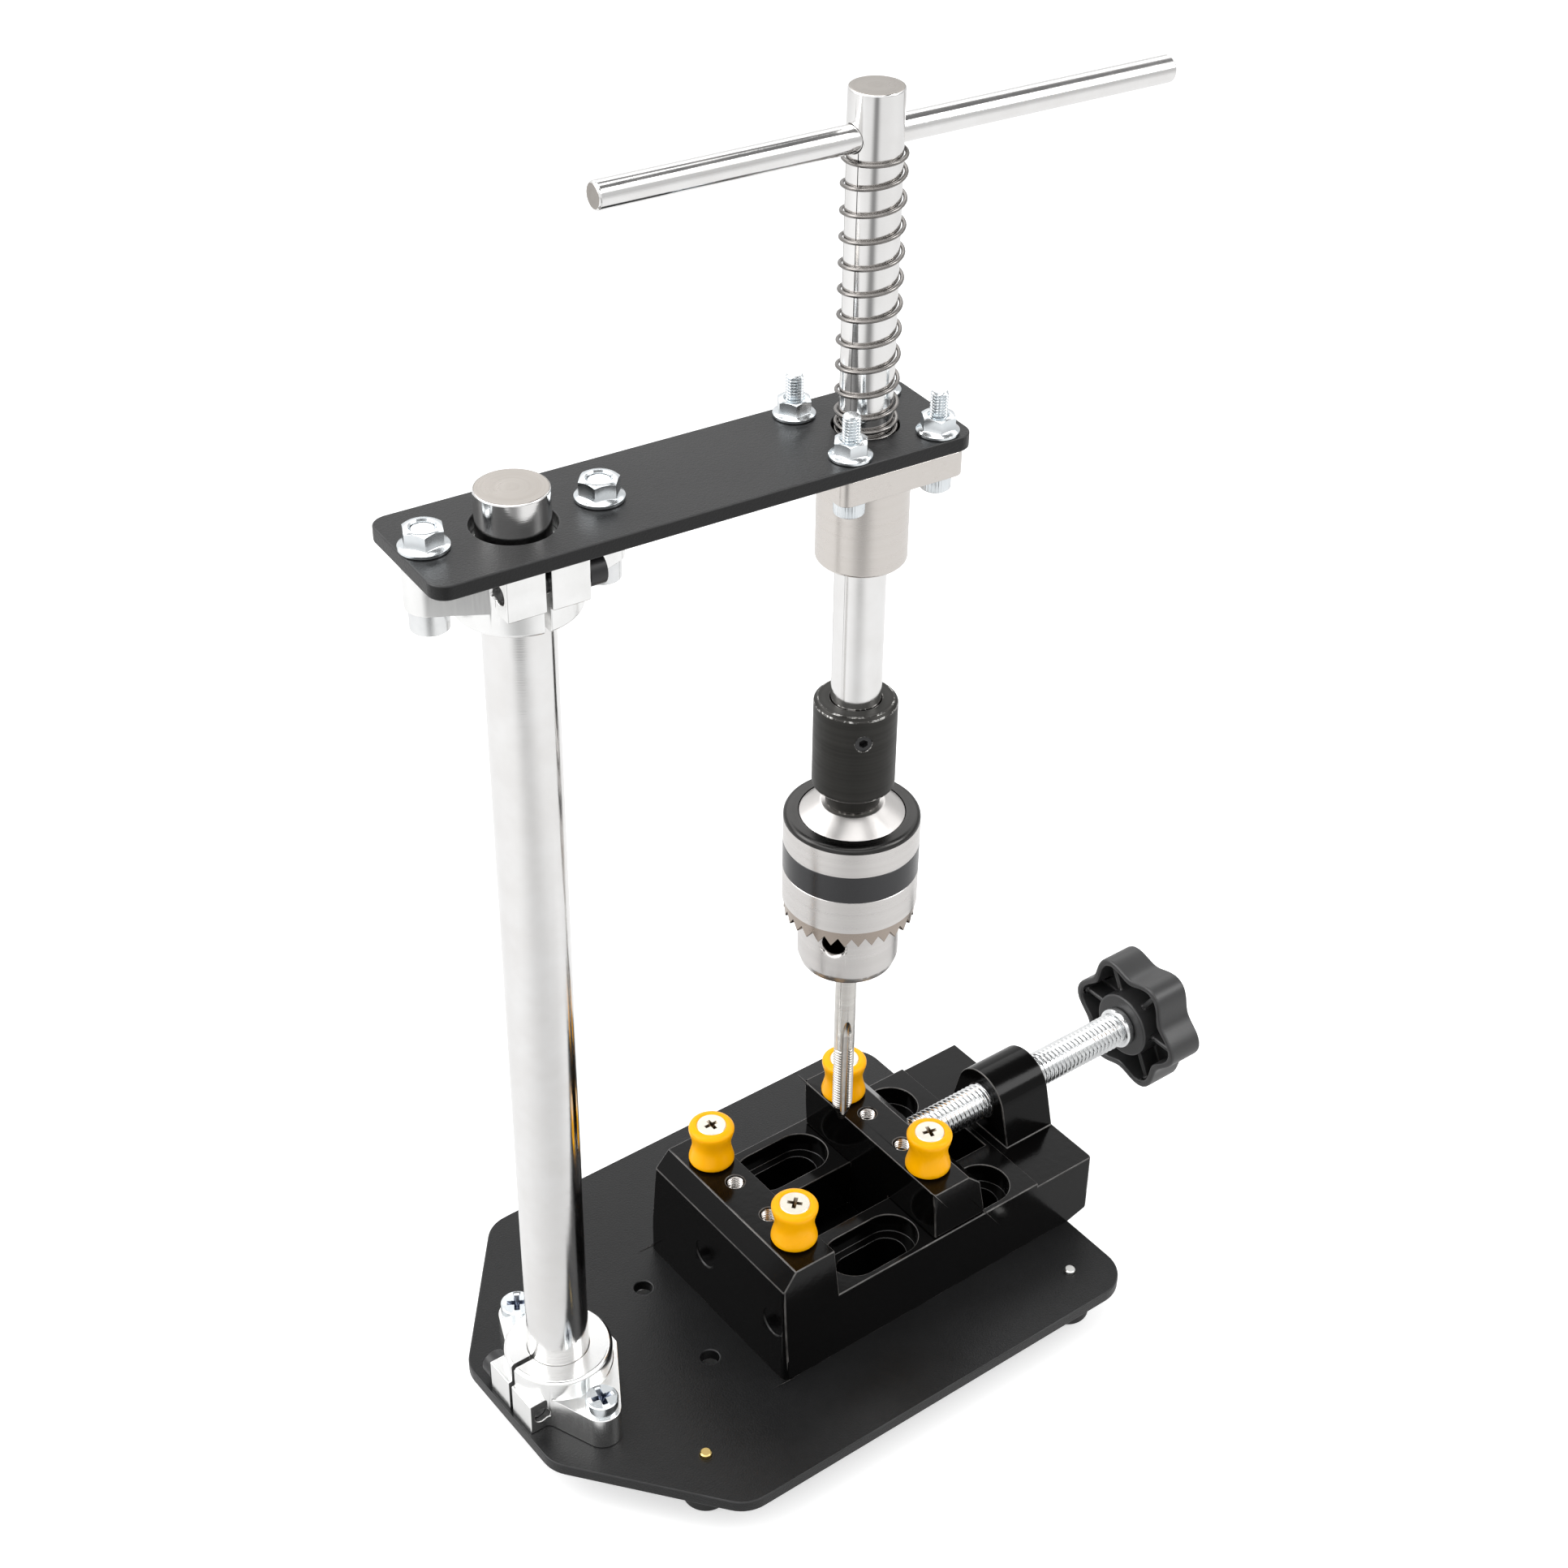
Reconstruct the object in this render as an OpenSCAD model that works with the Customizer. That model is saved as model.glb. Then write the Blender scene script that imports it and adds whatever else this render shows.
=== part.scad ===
// Manual tapping machine: a base plate with a column, a swinging arm, a sprung hand spindle
// with a keyed chuck and a tap, and a small flat vise. Sizes are in millimetres.
// Every height below is measured from the top face of the base plate unless it says otherwise.

/* [Base plate and feet] */
// distance from the column axis to the plate's near end
plate_back = 16; // [10:1:30]
// distance from the column axis to the plate's far end
plate_front = 147.5; // [100:0.5:220]
// width of the plate across the machine
plate_w = 122; // [90:1:180]
// thickness of the plate
plate_t = 3.5; // [2:0.5:8]
// length along the machine of the cut corners beside the column
cut_long = 32.3; // [10:0.1:50]
// width across the machine of the cut corners beside the column
cut_wide = 40.7; // [10:0.1:55]
// rounding of the plate's corners
plate_r = 10; // [3:1:20]
// diameter of the two spare holes
spare_d = 5; // [3:0.5:8]
// distance of the spare holes from the column axis
spare_x = 37; // [25:1:45]
// distance between the spare holes
spare_gap = 31; // [20:1:60]
// height of the rubber feet
foot_h = 11.5; // [6:0.5:25]
// diameter of a foot at the plate
foot_top_d = 14; // [8:0.5:25]
// diameter of a foot at the floor
foot_low_d = 12.2; // [6:0.2:25]
// distance of the feet near the column from the column axis
foot_near_x = 17; // [5:1:40]
// distance of the feet near the column from the plate's sides
foot_near_in = 19.6; // [10:0.2:30]
// distance of the far feet from the column axis
foot_far_x = 134.7; // [80:0.1:200]
// distance of the far feet from the plate's sides
foot_far_in = 11.8; // [8:0.2:30]
// diameter of a foot screw's shank
foot_screw_d = 3; // [2:0.5:5]
// diameter of a foot screw's head
foot_head_d = 5.6; // [4:0.2:9]
// height of a foot screw's head
foot_head_h = 2.2; // [1:0.1:4]
// depth of the pocket in a foot that hides the head
foot_pocket = 5; // [2:0.5:9]
// how far a foot screw stands above the plate
foot_tip = 1.2; // [0.5:0.1:4]

/* [Column and clamps] */
// diameter of the column
column_d = 16; // [10:1:30]
// height of the column's top
column_top = 265.5; // [150:0.5:500]
// bevel on the ends of the column
column_bevel = 0.3; // [0.2:0.1:2]
// radial clearance of the column in its clamps
column_fit = 0.05; // [0.01:0.01:0.1]
// whole height of a clamp
clamp_h = 16; // [10:1:30]
// thickness of a clamp's flange
flange_h = 10; // [5:1:20]
// diameter of a clamp's boss
boss_d = 28; // [22:1:50]
// bevel round the boss
boss_bevel = 0.8; // [0.2:0.1:2]
// distance between a clamp's two bolts
bolt_gap = 40; // [30:1:80]
// radius of the flange's rounded ends
flange_end_r = 5; // [4:0.5:12]
// half width of the flange on its plain side
flange_side = 15.5; // [12:0.5:30]
// half length of the flat on the plain side
flange_flat = 4; // [1:0.5:8]
// distance from the axis to the face of the split lug
lug_reach = 15; // [12:0.5:30]
// half width of the split lug
lug_half = 9.6; // [6:0.2:15]
// width of the split
split_w = 1.3; // [0.8:0.1:3]
// diameter of a clamp's bolt holes
bolt_hole_d = 5.5; // [4:0.5:9]
// diameter of the flange screws
bolt_d = 5; // [3:0.5:8]
// diameter of the flange screws' heads
bolt_head_d = 8.5; // [6:0.5:13]
// height of the cap heads under the arm
bolt_cap_h = 5; // [3:0.5:8]
// height of the slotted heads on the lower clamp
bolt_pan_h = 3.7; // [2:0.1:6]
// diameter of the pinch screw
pinch_d = 4; // [3:0.5:6]
// diameter of the pinch screw's head
pinch_head_d = 7; // [5:0.5:10]
// height of the pinch screw's head
pinch_head_h = 4; // [2:0.5:6]
// distance of the pinch screw from the column axis
pinch_x = 11.6; // [9:0.1:20]
// width across the flats of the hex sockets in the cap screws
socket_af = 3; // [2:0.5:5]
// depth of the sockets and cross cuts in screw heads
socket_deep = 2; // [1:0.1:4]
// width of a cross cut in a screw head
cross_w = 1; // [0.6:0.1:2]

/* [Arm] */
// swing of the arm about the column at rest, in degrees
arm_turn = -5.14; // [-30:0.02:30]
// height of the arm plate's top face
arm_top = 257.2; // [150:0.1:480]
// thickness of the arm plate
arm_t = 3.5; // [2:0.5:8]
// width of the arm plate
arm_w = 32.4; // [32:0.2:60]
// distance from the column axis to the arm's back end
arm_back = 25.4; // [24:0.1:50]
// distance from the column axis to the arm's front end
arm_front = 104.3; // [90:0.1:200]
// rounding of the arm plate's corners
arm_r = 4; // [1:0.5:12]
// distance from the column axis to the spindle axis
reach = 86; // [60:0.5:160]
// diameter of the hole round the column
arm_column_hole = 18.4; // [17:0.1:24]
// diameter of the hole over the bearing
arm_bearing_hole = 15; // [14.6:0.1:20]

/* [Nuts] */
// diameter of the large nuts' flanges
nut_flange_d = 10.8; // [8:0.2:15]
// width across the flats of the large nuts
nut_af = 8; // [6:0.5:10]
// height of the large nuts
nut_h = 5; // [3:0.1:8]
// thickness of a nut's flange
nut_rim = 1.1; // [0.5:0.1:2]
// diameter of the small nuts' flanges
small_flange_d = 9.6; // [7:0.2:12]
// width across the flats of the small nuts
small_af = 7; // [5:0.5:9]
// height of the small nuts
small_h = 4.4; // [3:0.1:6]
// height of the small screws' ends above the arm
small_stud = 10; // [6:0.5:16]

/* [Bearing] */
// diameter of the bearing's round body
bearing_d = 21; // [18:1:30]
// whole length of the bearing
bearing_len = 30; // [20:1:60]
// side of the bearing's square flange
bearing_sq = 32; // [28:1:45]
// thickness of the square flange
bearing_flange = 6; // [4:0.5:10]
// rounding of the square flange's corners
bearing_sq_r = 2.5; // [1:0.5:6]
// diameter of the circle through the bearing's screws
bearing_pcd = 32; // [26:1:44]
// diameter of the small screws
small_d = 4; // [3:0.5:5]
// diameter of the small screws' holes
small_hole_d = 4.5; // [3.5:0.1:6]
// diameter of the small screws' heads
small_head_d = 7; // [5:0.5:9]
// height of the small screws' heads
small_head_h = 4; // [2:0.5:6]
// inner diameter of the bearing's steel sleeve
race_d = 16.2; // [15:0.1:18]
// bevel on the bearing's round body
bearing_bevel = 0.8; // [0.2:0.1:2]
// radial gap between the ball cage and its neighbours
cage_gap = 0.35; // [0.3:0.01:0.6]
// thickness of an end seal
seal_t = 1.5; // [0.5:0.1:3]
// diameter of a bearing ball
ball_d = 1.94; // [1:0.02:3]
// distance between the balls in a row
ball_step = 4.6; // [3:0.1:8]

/* [Spindle, handle and spring] */
// diameter of the spindle
spindle_d = 12; // [8:1:20]
// radial clearance of the spindle in the bearing's seals
spindle_fit = 0.05; // [0.01:0.01:0.1]
// height of the spindle's top
spindle_top = 333; // [200:1:600]
// height of the spindle's bottom end
spindle_low = 170; // [100:1:300]
// bevel on the spindle's ends
spindle_bevel = 0.3; // [0.2:0.1:2]
// distance from the spindle's top to the handle's axis
handle_drop = 10.1; // [6:0.1:20]
// diameter of the handle bar
handle_d = 6; // [4:0.5:10]
// length of the handle bar
handle_len = 142; // [80:1:250]
// how far the bar is pushed through at rest
handle_push = 5.5; // [-40:0.5:40]
// radial clearance of the bar in its cross hole
handle_fit = 0.1; // [0.01:0.01:0.1]
// bevel on the ends of the bar
handle_bevel = 0.5; // [0.2:0.1:2]
// diameter of the spring's wire
wire_d = 0.9; // [0.6:0.1:2]
// outside diameter of the spring
spring_d = 14.8; // [14.8:0.1:20]
// height of one closed turn at the foot of the spring
close_pitch = 1.75; // [1.4:0.05:3]
// height of one open turn
open_pitch = 5.85; // [2:0.05:12]
// gap between the spring's last turn and the bar
spring_gap = 0.35; // [0.3:0.05:1]
// number of closed turns at the foot
close_turns = 2; // [1:1:4]
// number of turns that open out above the closed ones
ease_turns = 2; // [1:1:3]
// number of open turns
open_turns = 9; // [3:1:30]

/* [Coupler, chuck and tap] */
// diameter of the coupler
coupler_d = 20; // [16:1:30]
// height of the coupler's top
coupler_top = 186; // [120:0.5:300]
// height of the coupler's shoulder
coupler_low = 161.4; // [100:0.1:280]
// bevel on the coupler
coupler_bevel = 0.9; // [0.2:0.1:2]
// diameter of the coupler's neck
neck_d = 13.2; // [10:0.2:18]
// diameter of the coupler's thread in the chuck
stub_d = 9.5; // [8:0.5:14]
// height of the thread's lower end
stub_low = 146; // [120:0.5:200]
// radial gap of the spindle in the coupler
coupler_gap = 0.15; // [0.02:0.01:0.4]
// diameter of the coupler's set screw
set_d = 4; // [3:0.5:6]
// height of the set screw
set_z = 179; // [150:0.5:250]
// direction of the set screw about the spindle, in degrees
set_turn = 243; // [0:1:360]
// height of the chuck's nose
nose_z = 108.7; // [80:0.1:250]
// diameter of the chuck's nose
nose_d = 25.2; // [20:0.2:40]
// length of the bevel on the nose
nose_bevel = 2.4; // [0.5:0.1:5]
// depth of the bevel on the nose
nose_slope = 0.8; // [0.2:0.1:3]
// height of the bottom of the chuck's sleeve
sleeve_low = 127.9; // [90:0.1:260]
// height of the top of the chuck's sleeve
sleeve_top = 153.4; // [100:0.1:290]
// outside diameter of the chuck's sleeve
sleeve_d = 33.4; // [28:0.2:50]
// inside diameter of the chuck's sleeve
sleeve_bore = 30.2; // [26:0.2:46]
// bevel on the sleeve's top
sleeve_bevel = 1.3; // [0.5:0.1:3]
// height of the tips of the key teeth
tooth_low = 124.3; // [80:0.1:250]
// outside diameter of the key teeth
tooth_d = 32.2; // [26:0.2:48]
// number of key teeth
teeth = 30; // [20:1:34]
// depth of the notches between the key teeth
tooth_deep = 2; // [0.5:0.1:2.5]
// width of a notch at the teeth's tips
tooth_gap = 2.9; // [1:0.1:3.2]
// width of the bevel on the teeth's tips
tooth_bevel = 0.7; // [0.2:0.1:1.5]
// slope of the notches' bottoms, in degrees
tooth_lean = 20; // [0:1:45]
// height of the black band's lower edge
band_low = 137.4; // [100:0.1:280]
// height of the black band's upper edge
band_top = 145; // [100:0.1:290]
// depth of the fine grooves along the band's edges
band_groove = 0.25; // [0.1:0.05:0.6]
// radial clearance of the sleeve on the chuck's body
chuck_fit = 0.08; // [0.01:0.01:0.1]
// diameter of the chuck body's collar
collar_d = 26; // [22:0.2:40]
// height of the collar's shoulder, where the cone starts
collar_z = 153.2; // [110:0.1:290]
// height of the chuck body's top
cone_top = 156.6; // [112:0.1:295]
// diameter of the flat at the top of the cone
cone_d = 15.6; // [13:0.2:22]
// diameter of the throat inside the chuck's body
throat_d = 10.6; // [8:0.2:16]
// height of the throat's upper end
throat_top = 142; // [110:0.5:200]
// diameter of a key hole
key_d = 5.8; // [4:0.2:8]
// depth of a key hole
key_deep = 6.5; // [2:0.5:6.5]
// bevel round the mouth of a key hole
key_bevel = 0.8; // [0.2:0.1:0.8]
// height of the key holes
key_z = 120.4; // [90:0.1:250]
// direction of the first key hole, in degrees
key_turn = 214; // [0:1:360]
// diameter of a chuck jaw's rod
jaw_rod_d = 5.2; // [4:0.2:8]
// lean of the chuck's jaws, in degrees
jaw_lean = 13; // [8:1:20]
// distance of a jaw rod's axis from the chuck's axis at the nose
jaw_start = 4.3; // [3:0.1:8]
// height of a chuck jaw's top
jaw_top = 135; // [100:0.5:280]
// clearance round the chuck's jaws
jaw_fit = 0.08; // [0.01:0.01:0.1]
// how far a chuck jaw can slide up its bore
jaw_travel = 6.9; // [2:0.1:12]
// height of the threaded ring's lower face
ring_low = 128.3; // [100:0.1:260]
// height of the threaded ring's upper face
ring_top = 133.7; // [105:0.1:265]
// gap above and below the threaded ring
ring_gap = 0.3; // [0.1:0.05:1]
// diameter of the bottom of the groove for the ring
groove_d = 20.4; // [16:0.2:30]
// diameter of the tap
tap_d = 5.4; // [3:0.1:10]
// height of the tap's point
tap_point = 53.3; // [20:0.1:150]
// length of the tap's tapered end
tap_taper = 6; // [2:0.5:12]
// diameter of the tap's point
tap_tip_d = 2.6; // [1:0.1:5]
// height at which the flutes end
flute_top = 84; // [40:1:200]
// diameter of the round cutters that make the flutes
flute_d = 2.4; // [1:0.1:4]
// number of flutes
flutes = 3; // [2:1:5]
// direction of the first flute, in degrees
flute_turn = 246; // [0:1:360]
// height of the tap's upper end
tap_top = 128; // [90:0.5:260]

/* [Vise] */
// sideways offset of the vise from the column axis
vise_y = -4.9; // [-20:0.1:20]
// distance from the column axis to the vise's near end
vise_start = 47.5; // [40:0.5:90]
// distance from the column axis to the vise's far end
vise_end = 155; // [110:0.5:220]
// width of the vise at its foot
vise_w = 59.2; // [40:0.2:90]
// how much further the foot runs out on the +y side
vise_flare = 2.5; // [0:0.1:6]
// width of the vise's jaws at the top
vise_top_w = 56.6; // [36:0.2:88]
// rounding of the vise's upright corners
vise_r = 2; // [1:0.5:8]
// height of the vise's bed
bed_z = 21; // [10:0.5:40]
// height of the vise's tail
tail_z = 19.9; // [8:0.1:38]
// where the tail starts
tail_x = 135; // [110:0.5:180]
// how far the tail's underside rises past the plate's end
tail_lift = 2; // [0.5:0.5:6]
// height of the jaws' tops
jaw_z = 37.4; // [20:0.1:60]
// height at which the fixed jaw's bevel starts
jaw_bevel_z = 32; // [15:0.5:58]
// where the fixed jaw's top starts
fixed_top_start = 51.5; // [44:0.5:95]
// where the fixed jaw's top ends
fixed_top_end = 64; // [50:0.5:110]
// where the fixed jaw's inner face meets the bed
fixed_foot = 65.6; // [52:0.1:112]
// half width of the channel in the bed
channel_half = 8.5; // [5:0.5:15]
// where the channel ends
channel_end = 133.3; // [100:0.1:175]
// half width of the wider part of the channel under the bed
under_half = 12.4; // [6:0.2:20]
// height of the wider part of the channel
under_h = 5.5; // [3:0.1:9]
// thickness of the wall between a slot and the vise's side
slot_wall = 2.4; // [1:0.1:6]
// thickness of the rib between a slot and the channel
slot_rib = 3.7; // [1:0.1:8]
// where the near slots start
slot_start = 70; // [60:0.5:110]
// end-to-end length of a slot's upper part
slot_len = 27.5; // [16:0.5:50]
// distance between the near and far slots
slot_step = 32.5; // [20:0.5:70]
// height of the ledge in a slot
ledge_z = 15; // [5:0.5:30]
// end-to-end length of a slot's lower part
slot_low_len = 21; // [10:0.5:45]
// width of the ledge along a slot's sides
ledge_w = 2.3; // [1:0.1:3]
// distance of the posts from the vise's middle line
post_y = 18.2; // [12:0.1:28]
// where the fixed posts stand
fixed_post_x = 58.5; // [48:0.5:100]
// where the moving posts stand
moving_post_x = 103.4; // [80:0.1:150]
// distance of the threaded holes from the vise's middle line
thread_y = 7.5; // [4:0.5:14]
// diameter of the threaded holes
thread_d = 5; // [3:0.2:7]
// depth of the threaded holes
thread_deep = 12; // [5:1:20]
// where the fixed jaw's threaded holes are
fixed_thread_x = 58.5; // [48:0.1:100]
// diameter of a round mark in the end face
mark_d = 8; // [3:0.5:12]
// depth of a round mark in the end face
mark_deep = 0.4; // [0.2:0.1:2]
// height of the round marks
mark_z = 18; // [8:0.5:28]
// place across the vise of the first round mark
mark_a = 6.3; // [-25:0.1:25]
// place across the vise of the second round mark
mark_b = -23.9; // [-25:0.1:25]

/* [Moving jaw] */
// gap between the moving jaw and the bed
slide_gap = 0.3; // [0.3:0.05:1]
// where the moving jaw's face meets its top
moving_face = 97.5; // [70:0.5:140]
// where the moving jaw's face meets the bed
moving_foot = 98.6; // [70:0.1:141]
// where the moving jaw's top ends
moving_top_end = 109.5; // [80:0.5:155]
// where the moving jaw's bevel ends
moving_bevel_x = 113.5; // [84:0.5:160]
// height at which the moving jaw's bevel ends
moving_bevel_z = 33.5; // [16:0.5:58]
// where the moving jaw's back meets the bed
moving_back = 116; // [86:0.5:165]
// height of the underside of the jaw's tongue
tongue_z = 5.2; // [3:0.1:10]
// length of the guide plate under the tongue
guide_len = 16; // [10:0.5:30]
// half width of the guide plate
guide_half = 11.8; // [6:0.2:19]
// height of the guide plate's underside
guide_low = 0.6; // [0.3:0.1:3]
// thickness of the guide plate
guide_t = 4; // [2:0.1:6]
// diameter of the guide plate's screws
guide_screw_d = 3; // [2:0.5:5]
// distance of the guide plate's screws from the middle line
guide_screw_y = 4.8; // [3:0.1:8]
// depth of the guide plate's screws in the tongue
guide_screw_deep = 8; // [4:0.5:14]
// diameter of the guide plate's screw heads
guide_head_d = 5.4; // [4:0.2:8]
// height of the guide plate's screw heads
guide_head_h = 1.8; // [1:0.1:3]

/* [Lead screw and knob] */
// height of the lead screw's axis
screw_z = 29; // [15:0.5:50]
// diameter of the lead screw
screw_d = 10; // [6:0.5:16]
// radial clearance of the lead screw in the boss
screw_fit = 0.08; // [0.01:0.01:0.1]
// where the lead screw starts inside the moving jaw
screw_start = 103; // [80:0.5:150]
// where the boss on the tail starts
boss_start = 138.3; // [120:0.1:200]
// radius of the boss's rounded top
arch_r = 9.6; // [7:0.1:16]
// half width of the boss at its foot
arch_foot = 12.4; // [8:0.1:20]
// diameter of the groove round the lead screw's end
groove_neck_d = 6; // [4:0.5:10]
// where the groove round the lead screw's end starts
groove_x = 106; // [84:0.5:155]
// width of the groove round the lead screw's end
groove_w = 4.2; // [2:0.1:7]
// diameter of the keeper pin
pin_d = 3; // [2:0.1:5]
// distance of the keeper pin from the lead screw's axis
pin_y = 4.9; // [3:0.1:9]
// height of the keeper pin's top above the lead screw's axis
pin_rise = 3; // [1:0.5:6]
// diameter of the lead screw's collar
hub_collar_d = 12; // [8:0.2:20]
// length of the lead screw's collar
hub_collar_w = 3; // [1:0.5:8]
// where the knob's hub starts
knob_start = 192.3; // [165:0.1:260]
// where the knob's rim starts
rim_start = 193.4; // [166:0.1:262]
// where the knob ends
knob_end = 204.6; // [175:0.1:280]
// diameter of the knob's hub
hub_d = 19.4; // [14:0.2:30]
// radius of the knob at its lobes
knob_r = 20.2; // [14:0.1:35]
// radius of the knob at its valleys
valley_r = 16.6; // [12:0.1:30]
// turn of the knob at rest, in degrees
knob_turn = 30; // [0:1:360]
// number of lobes
lobes = 6; // [3:1:9]
// thickness of the knob's rim
rim_t = 2.2; // [1:0.1:5]
// depth of the hollow in the knob's back
hollow_deep = 8; // [3:0.5:12]
// thickness of the knob's ribs
rib_t = 1.6; // [0.8:0.1:3]
// how far the ribs stand back from the rim
rib_back = 2; // [0.5:0.5:5]
// thickness of the knob's wall over the end of the lead screw
knob_wall = 3.8; // [1:0.1:6]

/* [Posts] */
// height of a post
post_h = 12.5; // [8:0.5:20]
// diameter of a post's lobes
post_d = 12.5; // [8:0.5:20]
// diameter of a post's waist
waist_d = 10.4; // [6:0.2:18]
// depth of the roundings at a post's ends
post_round = 1.6; // [0.5:0.1:3]
// diameter of the post screws' heads
post_head_d = 8; // [5:0.5:12]
// height of the post screws' heads
post_head_h = 2.3; // [1:0.1:4]
// depth of a post screw in the jaw
post_screw_deep = 8; // [4:0.5:14]
// clearance round screws in plain holes
screw_gap = 0.1; // [0.05:0.05:0.5]

/* [Hidden] */
fine = 64;
plate_low = -plate_t;
floor_low = -plate_t - foot_h;
arm_low = arm_top - arm_t;
foot_near_y = plate_w / 2 - foot_near_in;
foot_far_y = plate_w / 2 - foot_far_in;
slot_w = vise_w / 2 - slot_wall - slot_rib - channel_half;
slot_low_w = slot_w - 2 * ledge_w;
slot_y = vise_w / 2 - slot_wall - slot_w / 2;
// the machine's lowest and highest x, which put the origin under the middle of its box
arm_corner_x = -arm_back + arm_r;
arm_corner_y = -arm_w / 2 + arm_r;
low_x = min(-plate_back, arm_corner_x * cos(arm_turn) - arm_corner_y * sin(arm_turn) - arm_r);
shift_x = -(low_x + knob_end) / 2;
spin_x = reach * cos(arm_turn);
spin_y = reach * sin(arm_turn);
handle_z = spindle_top - handle_drop;
bolt_half = bolt_gap / 2;
pitch_half = bearing_pcd / 2 * cos(45);
bearing_low = arm_low - bearing_len;
coil_r = (spring_d - wire_d) / 2;
coil_low = arm_low + wire_d / 2 + wire_d / 9;
coil_top = handle_z - handle_d / 2 - wire_d / 2 - spring_gap;
coil_phase = 142.3;
ease_rise = (close_pitch + open_pitch) / 2 * ease_turns;
end_rise = coil_top - coil_low - close_pitch * close_turns - ease_rise - open_pitch * open_turns;
// the last turn ends under the bar, on the side away from the column
end_turns = (360 - coil_phase + arm_turn) / 360;
coil_turns = close_turns + ease_turns + open_turns + end_turns;
tilt = tan(jaw_lean);

// unit vector along v
function unit(v) = v / norm(v);

// the two points where a rounding of radius r leaves corner b of the path a, b, c
function tangents(a, b, c, r) =
    let (u = unit(a - b), w = unit(c - b), half = acos(u * w) / 2, t = r / tan(half))
    [b + u * t, b + w * t];

// the centre of that rounding
function round_centre(a, b, c, r) =
    let (u = unit(a - b), w = unit(c - b), half = acos(u * w) / 2)
    b + unit(u + w) * (r / sin(half));

// an outward-bulging outline with every corner rounded by exact arcs
module rounded(points, r) {
    n = len(points);
    polygon([for (i = [0 : n - 1])
        each tangents(points[(i + n - 1) % n], points[i], points[(i + 1) % n], r)]);
    for (i = [0 : n - 1])
        translate(round_centre(points[(i + n - 1) % n], points[i], points[(i + 1) % n], r))
            circle(r, $fn = fine);
}

// the point where a line from p touches the circle of radius r about c, on the side s
function touch(c, r, p, s) =
    let (v = p - c, d = norm(v), a = atan2(v[1], v[0]) + s * acos(r / d))
    c + r * [cos(a), sin(a)];

// puts a piece on the base plate's top face, with the origin on the column's axis
module on_base() {
    translate([shift_x, 0, foot_h + plate_t]) children();
}

// the same for the swung arm
module on_arm() {
    on_base() rotate([0, 0, arm_turn]) children();
}

// the same for the spindle's axis
module on_spindle() {
    on_arm() translate([reach, 0, 0]) children();
}

// the same for the vise's middle line
module on_vise() {
    on_base() translate([0, vise_y, 0]) children();
}

// a plain round bar between two heights with both ends bevelled
module bar(d, low, top, bevel) {
    rotate_extrude($fn = fine)
        polygon([[0, low], [d / 2 - bevel, low], [d / 2, low + bevel], [d / 2, top - bevel],
                 [d / 2 - bevel, top], [0, top]]);
}

// a hexagonal cutter or body with a width across its flats
module hexagon(af, h) {
    cylinder(d = af / cos(30), h = h, $fn = 6);
}

// a cross-shaped cutter for screw heads
module cross_cut(w, reach_out, deep) {
    for (a = [0, 90])
        rotate([0, 0, a]) translate([-reach_out / 2, -w / 2, 0]) cube([reach_out, w, deep]);
}

// a hexagon nut with a round flange, standing on z = 0, with a bore of diameter bore
module flange_nut(flange_d, af, h, bore) {
    difference() {
        union() {
            cylinder(d1 = flange_d, d2 = flange_d - nut_rim / 2, h = nut_rim, $fn = fine);
            intersection() {
                hexagon(af, h);
                rotate_extrude($fn = fine)
                    polygon([[0, 0], [af, 0], [af / cos(30) / 2 + nut_rim / 4, h - nut_rim],
                             [af / 2 - nut_rim / 4, h], [0, h]]);
            }
        }
        translate([0, 0, -nut_rim]) cylinder(d = bore, h = h + 2 * nut_rim, $fn = fine);
    }
}

// a cap screw pointing up from z = 0, its head below, with a hex socket
module cap_screw(d, len, head_d, head_h, af) {
    difference() {
        union() {
            cylinder(d = d, h = len, $fn = fine);
            translate([0, 0, -head_h]) cylinder(d = head_d, h = head_h, $fn = fine);
        }
        translate([0, 0, -head_h - socket_deep]) hexagon(af, 2 * socket_deep);
    }
}

module base_plate() {
    points = [[-plate_back, -plate_w / 2 + cut_wide], [-plate_back + cut_long, -plate_w / 2],
              [plate_front, -plate_w / 2], [plate_front, plate_w / 2],
              [-plate_back + cut_long, plate_w / 2], [-plate_back, plate_w / 2 - cut_wide]];
    color("DimGray") on_base() difference() {
        translate([0, 0, -plate_t]) linear_extrude(plate_t) rounded(points, plate_r);
        for (s = [-1, 1]) {
            translate([spare_x, s * spare_gap / 2, -2 * plate_t])
                cylinder(d = spare_d, h = 3 * plate_t, $fn = fine);
            translate([0, s * bolt_half, -2 * plate_t])
                cylinder(d = bolt_d, h = 3 * plate_t, $fn = fine);
            translate([foot_near_x, s * foot_near_y, -2 * plate_t])
                cylinder(d = foot_screw_d, h = 3 * plate_t, $fn = fine);
            translate([foot_far_x, s * foot_far_y, -2 * plate_t])
                cylinder(d = foot_screw_d, h = 3 * plate_t, $fn = fine);
        }
    }
}

// calls its children once at each foot, with z = 0 on the floor
module at_feet() {
    for (s = [-1, 1]) {
        translate([shift_x + foot_near_x, s * foot_near_y, 0]) children();
        translate([shift_x + foot_far_x, s * foot_far_y, 0]) children();
    }
}

module rubber_feet() {
    ease = foot_head_h / 2;
    color("Black") at_feet() rotate_extrude($fn = fine)
        polygon([[foot_head_d / 2 + ease / 2, 0], [foot_low_d / 2 - ease / 2, 0],
                 [foot_low_d / 2, ease / 2], [foot_top_d / 2, foot_h - ease],
                 [foot_top_d / 2, foot_h], [foot_screw_d / 2, foot_h],
                 [foot_screw_d / 2, foot_pocket], [foot_head_d / 2 + ease / 2, foot_pocket]]);
}

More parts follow.
